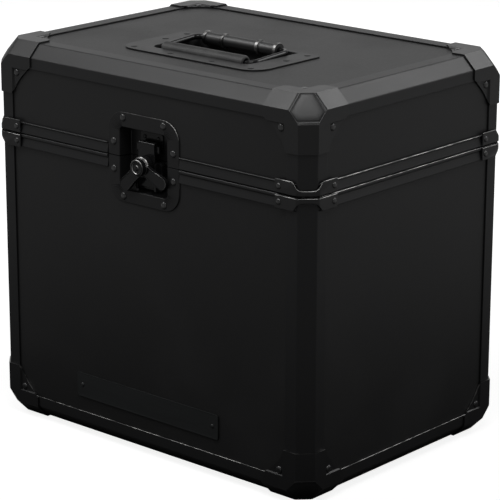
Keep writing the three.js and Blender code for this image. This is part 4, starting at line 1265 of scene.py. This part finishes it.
def merged(piece):
    """Merges the points that a cut left side by side, and the flat faces that it split."""
    only(piece)
    bpy.ops.object.mode_set(mode="EDIT")
    bpy.ops.mesh.select_all(action="SELECT")
    bpy.ops.mesh.remove_doubles(threshold=2 * touching)
    bpy.ops.mesh.dissolve_limited(angle_limit=math.radians(0.6))
    bpy.ops.object.mode_set(mode="OBJECT")
    return piece


def hollow(name, grow):
    """The pan's inside, or its outside where it is grown by the wall."""
    top = top_face + pan_over if grow == 0 else top_face - pan_under
    half = pan_half + grow
    bottom = pan_floor - grow
    middle = (pan_front + pan_rear) / 2
    pan = block(name, (-half, pan_front - grow, bottom), (half, pan_rear + grow, top))
    pick(pan, "FACE", lambda place, normal: normal.z < -0.9)
    across = (half - pan_draft) / half
    scaled((across, across, 1), (0, middle, 0))
    pick(pan, "EDGE", lambda place, way: abs(way.z) > 0.7 and place.y < middle)
    bpy.ops.mesh.bevel(offset=pan_round, segments=7, affect="EDGES")
    for sign in (-1, 1):
        near, far = sorted((sign * (pan_ear_half - grow), sign * half))
        ear = block(f"{name}_ear", (near, pan_ear_front, bottom), (far, pan_ear_rear + grow, top))
        pick(ear, "FACE", lambda place, normal: normal.z < -0.9)
        bpy.ops.transform.translate(value=(-sign * pan_draft * pan_ear_share, -pan_draft, 0))
        added_to(pan, ear)
    return pan


added_to(flange, hollow("pan_outside", dish_wall))
cut_from(flange, hollow("pan_inside", 0))
added_to(flange, block(
    "seat", (-seat_half, pivot_y, seat_low), (seat_half, seat_rear, top_face - seat_sunk),
))
handle_dish = eased(merged(flange), handle_dish_ease, crease=50)

profile = [(collar_radius, -barrel_half)]
for middle in sorted((-collar_places[0], -collar_places[1], *collar_places)):
    if profile[-1][0] != collar_radius:
        profile += [(barrel_radius, middle - collar_half), (collar_radius, middle - collar_half)]
    profile += [(collar_radius, middle + collar_half), (barrel_radius, middle + collar_half)]
barrel = turned("barrel", profile[:-1], 40)
laid(barrel, (0, pivot_y, pivot_z), (1, 0, 0))
for sign in (-1, 1):
    bore = turned("bore", ((barrel_bore, 0), (barrel_bore, barrel_bore_length)), 32)
    cut_from(barrel, laid(bore, (sign * barrel_bore_start, pivot_y, pivot_z), (sign, 0, 0)))
eased(barrel, barrel_ease, 3, 50)
dressed(barrel, painted("painted_barrel", 0.42, 0.10, 1.62))
# The collars get the bright metal and so look lighter than the barrel: partly wear, partly a painted
# highlight.
rubbed_and_highlighted(barrel, lambda place, normal: (
    math.hypot(place.y - pivot_y, place.z - pivot_z) > barrel_radius + collar_slack
))
dressed(handle_dish, dish_paint)
flat_rivet = rivet("flat_rivet", flat_rivet_radius, flat_rivet_height)
dressed(flat_rivet, dish_paint)
handle_heads = [
    rivet_on(
        flat_rivet, f"handle_head_{number}_{sign + 1}", (sign * across, along, top_face), (0, 0, 1),
    )
    for number, (across, along) in enumerate(handle_rivets) for sign in (-1, 1)
]
bpy.data.objects.remove(flat_rivet)
handle_dish = joined("pressed_handle_dish", handle_dish, *handle_heads, barrel)
finished(handle_dish, "lid", None, "handle_dish")

# Handle
# A steel rod bent to a loop, its two ends turned inwards into the barrel, and black nickelled.
# A thick tube of moulded rubber is pulled over its front run.

rod_radius = 0.00275
rod_stub = 0.028
rod_half = 0.057
rod_bend = 0.008
rod_ease = 0.0004
grip_y = -0.059
grip_z = 0.3717
grip_radius = 0.0068
grip_half = 0.0505
grip_round = 0.002
grip_round_across = 0.35
grip_round_along = 0.22
grip_mouth = 0.0034
grip_mouth_flare = 0.0004
grip_mouth_sunk = 0.0002
grip_ease = 0.0004

loop_length = math.hypot(pivot_y - grip_y, pivot_z - grip_z)
loop_tilt = math.atan2(pivot_z - grip_z, pivot_y - grip_y)
only(None)
bpy.ops.mesh.primitive_circle_add(
    vertices=24, radius=rod_radius, fill_type="NGON", location=(rod_stub, 0, 0),
    rotation=(0, math.pi / 2, 0),
)
bail = settled("bent_handle_rod")
bpy.ops.object.mode_set(mode="EDIT")
bpy.ops.mesh.select_all(action="SELECT")
straight = rod_half - rod_bend
bend_middles = (
    (straight, -rod_bend), (straight, rod_bend - loop_length),
    (-straight, rod_bend - loop_length), (-straight, -rod_bend),
)
runs = (
    (straight - rod_stub, 0), (0, 2 * rod_bend - loop_length), (-2 * straight, 0),
    (0, loop_length - 2 * rod_bend), (straight - rod_stub, 0),
)
for number, (across, along) in enumerate(runs):
    pulled((across, along, 0))
    if number < len(bend_middles):
        bpy.ops.mesh.spin(
            steps=8, angle=math.pi / 2, center=(*bend_middles[number], 0), axis=(0, 0, 1),
        )
bpy.ops.mesh.select_all(action="SELECT")
bpy.ops.mesh.remove_doubles(threshold=touching / 2)
bpy.ops.mesh.normals_make_consistent(inside=False)
bpy.ops.object.mode_set(mode="OBJECT")
loop_place = Matrix.Translation((0, pivot_y, pivot_z)) @ Matrix.Rotation(loop_tilt, 4, "X")
bail.data.transform(loop_place)
eased(bail, rod_ease, crease=50)
finished(bail, "handle", nickel, "handle_bail")

rubber_black = (0.0130, 0.0130, 0.0133, 1)
rubber_dusty = (0.0290, 0.0290, 0.0285, 1)
rubber = Finish("moulded_rubber")
place = rubber.place()
grain = rubber.noise(place, scale=1400.0, detail=3.0)
dust = rubber.noise(place, scale=70.0, detail=4.0)
rubber.principled(
    Base_Color=rubber.blend(dust.between(0.42, 0.70), rubber_black, rubber_dusty),
    Metallic=0.0, IOR=1.46, Roughness=0.50 + dust * 0.12,
    Normal=rubber.relief(grain, strength=0.22, depth=0.00008),
)

grip_shoulder = grip_radius - grip_round * grip_round_across
shoulder_inset = grip_round * grip_round_along
grip = turned("rubber_grip", (
    (grip_mouth, grip_mouth - grip_half), (grip_mouth + grip_mouth_flare, grip_mouth_sunk - grip_half),
    (grip_radius - grip_round, -grip_half), (grip_shoulder, shoulder_inset - grip_half),
    (grip_radius, grip_round - grip_half), (grip_radius, grip_half - grip_round),
    (grip_shoulder, grip_half - shoulder_inset), (grip_radius - grip_round, grip_half),
    (grip_mouth + grip_mouth_flare, grip_half - grip_mouth_sunk), (grip_mouth, grip_half - grip_mouth),
))
laid(grip, (0, grip_y, grip_z), (1, 0, 0))
eased(grip, grip_ease, crease=40)
finished(grip, "handle", rubber.material, "handle_grip")

# Bare plate
# A thin plate of dark brushed metal riveted low on the front. It carries nothing.

bare_plate_round = 0.002
bare_plate_rivets_across = 0.084
bare_plate_border = 0.0016
bare_plate_sunk = 0.00025
bare_plate_ease = 0.0002
plate_head_room = 0.0009
plate_dark = (0.0090, 0.0101, 0.0104, 1)
plate_light = (0.0140, 0.0153, 0.0157, 1)

brushed = Finish("brushed_plate")
place = brushed.place()
brushing = brushed.node("ShaderNodeMapping", None, place, None, None, (18, 600, 2200))
strokes = brushed.noise(brushing, scale=1.0, detail=3.0)
haze = brushed.noise(place, scale=30.0, detail=4.0)
brush_mix = strokes.between(0.35, 0.68) * 0.7 + haze * 0.3
brushed.principled(
    Base_Color=brushed.blend(brush_mix, plate_dark, plate_light),
    Metallic=0.25, IOR=1.5, Roughness=0.38 + strokes * 0.12,
    Normal=brushed.relief(strokes, strength=0.15, depth=0.00003),
)

low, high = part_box("blank_plate")
plate_face = low.y + plate_head_room
plate = block("bare_plate", (low.x, plate_face, low.z), high)
pick(plate, "EDGE", lambda place, way: abs(way.y) > 0.9)
bpy.ops.mesh.bevel(offset=bare_plate_round, segments=6, affect="EDGES")
pick(plate, "FACE", lambda place, normal: normal.y < -0.9)
bpy.ops.mesh.inset(thickness=bare_plate_border)
bpy.ops.transform.translate(value=(0, bare_plate_sunk, 0))
eased(plate, bare_plate_ease)
plate_heads = [
    rivet_on(
        small_rivet, f"plate_head_{number}",
        (across, plate_face + bare_plate_sunk, (low.z + high.z) / 2), outwards,
    )
    for number, across in enumerate((-bare_plate_rivets_across, bare_plate_rivets_across))
]
plate = joined("bare_plate", plate, *plate_heads)
finished(plate, "base", brushed.material, "blank_plate")

# Floor pad
# A sheet of 3 mm closed-cell foam that lines the floor, cut a little small and laid loose. Its
# cut edges are soft, and its middle is pressed down a little.

pad_edge = 0.0011
pad_rim = 0.006
pad_slope = 0.030
pad_sunk = 0.0002
foam_dark = (0.0125, 0.0125, 0.0130, 1)
foam_light = (0.0260, 0.0260, 0.0265, 1)

foam = Finish("foam_sheet")
place = foam.place()
cells = foam.node("ShaderNodeTexVoronoi", None, Vector=place, Scale=900.0)
mottle = foam.noise(place, scale=40.0, detail=4.0)
foam_mix = cells.between(0.1, 0.7) * 0.6 + mottle * 0.4
foam.principled(
    Base_Color=foam.blend(foam_mix, foam_dark, foam_light),
    Metallic=0.0, IOR=1.35, Roughness=0.85 + mottle * 0.1,
    Normal=foam.relief(cells, strength=0.4, depth=0.0002),
)
pad = block("foam_floor_pad", *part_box("floor_pad"))
pick(pad, "FACE", lambda place, normal: normal.z > 0.9)
bpy.ops.mesh.inset(thickness=pad_rim)
bpy.ops.mesh.inset(thickness=pad_slope)
bpy.ops.transform.translate(value=(0, 0, -pad_sunk))
eased(pad, pad_edge, 4, 50)
finished(pad, "base", foam.material, "floor_pad")

# Hinges
# Two steel butt hinges on the rear. Each leaf is bent outwards over the valance to reach its
# knuckles, and three rivets hold it to the board. A pin runs through the five knuckles.

hinge_across = 0.120
hinge_half = 0.030
hinge_y = 0.148
knuckle_radius = 0.0038
knuckle_gap = 0.00015
pin_radius = 0.0018
pin_clearance = 0.0003
hole_overrun = 0.001
leaf_over_valance = 0.1457
leaf_on_board = 0.1433
leaf_wall = 0.0015
leaf_start = 0.0044
leaf_step = 0.0015
leaf_fold = 0.0009
leaf_ease = 0.00025
leaf_reach = 0.032
web_reach = 0.0059
leaf_round = 0.003
leaf_rivets_across = 0.021
leaf_rivets_reach = 0.0255
lower_step_at = 0.0138
upper_step_at = 0.0125
knuckle_length = hinge_half * 2 / 5


def hinge_leaf(name, step_at, owned, upwards):
    """A bent leaf with its own knuckles, made for the base and turned over for the lid."""
    leaf = folded(name, (
        (leaf_over_valance, -leaf_start), (leaf_over_valance, -step_at),
        (leaf_on_board, -step_at - leaf_step), (leaf_on_board, -leaf_reach),
    ), hinge_half, leaf_wall, leaf_fold)
    pick(leaf, "EDGE", lambda place, way: abs(way.y) > 0.9 and place.z < -leaf_reach + 0.0001)
    bpy.ops.mesh.bevel(offset=leaf_round, segments=5, affect="EDGES")
    pieces = [eased(leaf, leaf_ease, crease=50)]
    for number in owned:
        start = knuckle_length * number - hinge_half + knuckle_gap
        end = knuckle_length * (number + 1) - hinge_half - knuckle_gap
        knuckle = turned("knuckle", ((knuckle_radius, start), (knuckle_radius, end)), 32)
        laid(knuckle, (0, hinge_y, 0), (1, 0, 0))
        added_to(knuckle, block(
            "web", (start, leaf_over_valance - leaf_wall, -web_reach), (end, leaf_over_valance, 0),
        ))
        if upwards:
            hole_radius = pin_radius + pin_clearance
            ends = ((hole_radius, start - hole_overrun), (hole_radius, end + hole_overrun))
            cut_from(knuckle, laid(turned("hole", ends, 24), (0, hinge_y, 0), (1, 0, 0)))
        pieces.append(eased(merged(knuckle), leaf_ease, crease=50))
    for across in (-leaf_rivets_across, 0, leaf_rivets_across):
        spot = (across, leaf_on_board, -leaf_rivets_reach)
        pieces.append(rivet_on(big_rivet, "leaf_head", spot, (0, 1, 0)))
    whole = joined(name, *pieces)
    dressed(whole, cap_paint)
    if upwards:
        whole.data.transform(Matrix.Diagonal((1, 1, -1, 1)))
        whole.data.flip_normals()
    return whole


lower_leaf = hinge_leaf("hinge_leaf_below", lower_step_at, (0, 2, 4), False)
hinge_pin = turned("hinge_pin", (
    (pin_radius, knuckle_length * 0.5 - hinge_half), (pin_radius, hinge_half - knuckle_length * 0.5),
), 24)
laid(hinge_pin, (0, hinge_y, 0), (1, 0, 0))
dressed(hinge_pin, nickel)
lower_leaf = joined("hinge_leaf_below", lower_leaf, smoothed(hinge_pin))
upper_leaf = hinge_leaf("hinge_leaf_above", upper_step_at, (1, 3), True)
for side, sign in (("left", -1), ("right", 1)):
    for leaf, body in ((lower_leaf, "base"), (upper_leaf, "lid")):
        spot = Matrix.Translation((sign * hinge_across, 0, parting))
        placed = copied(leaf, f"{leaf.name}_{side}", spot)
        finished(placed, body, None, f"hinge_leaf_{body}_{side}")
for pattern in (lower_leaf, upper_leaf, big_rivet, small_rivet):
    bpy.data.objects.remove(pattern)
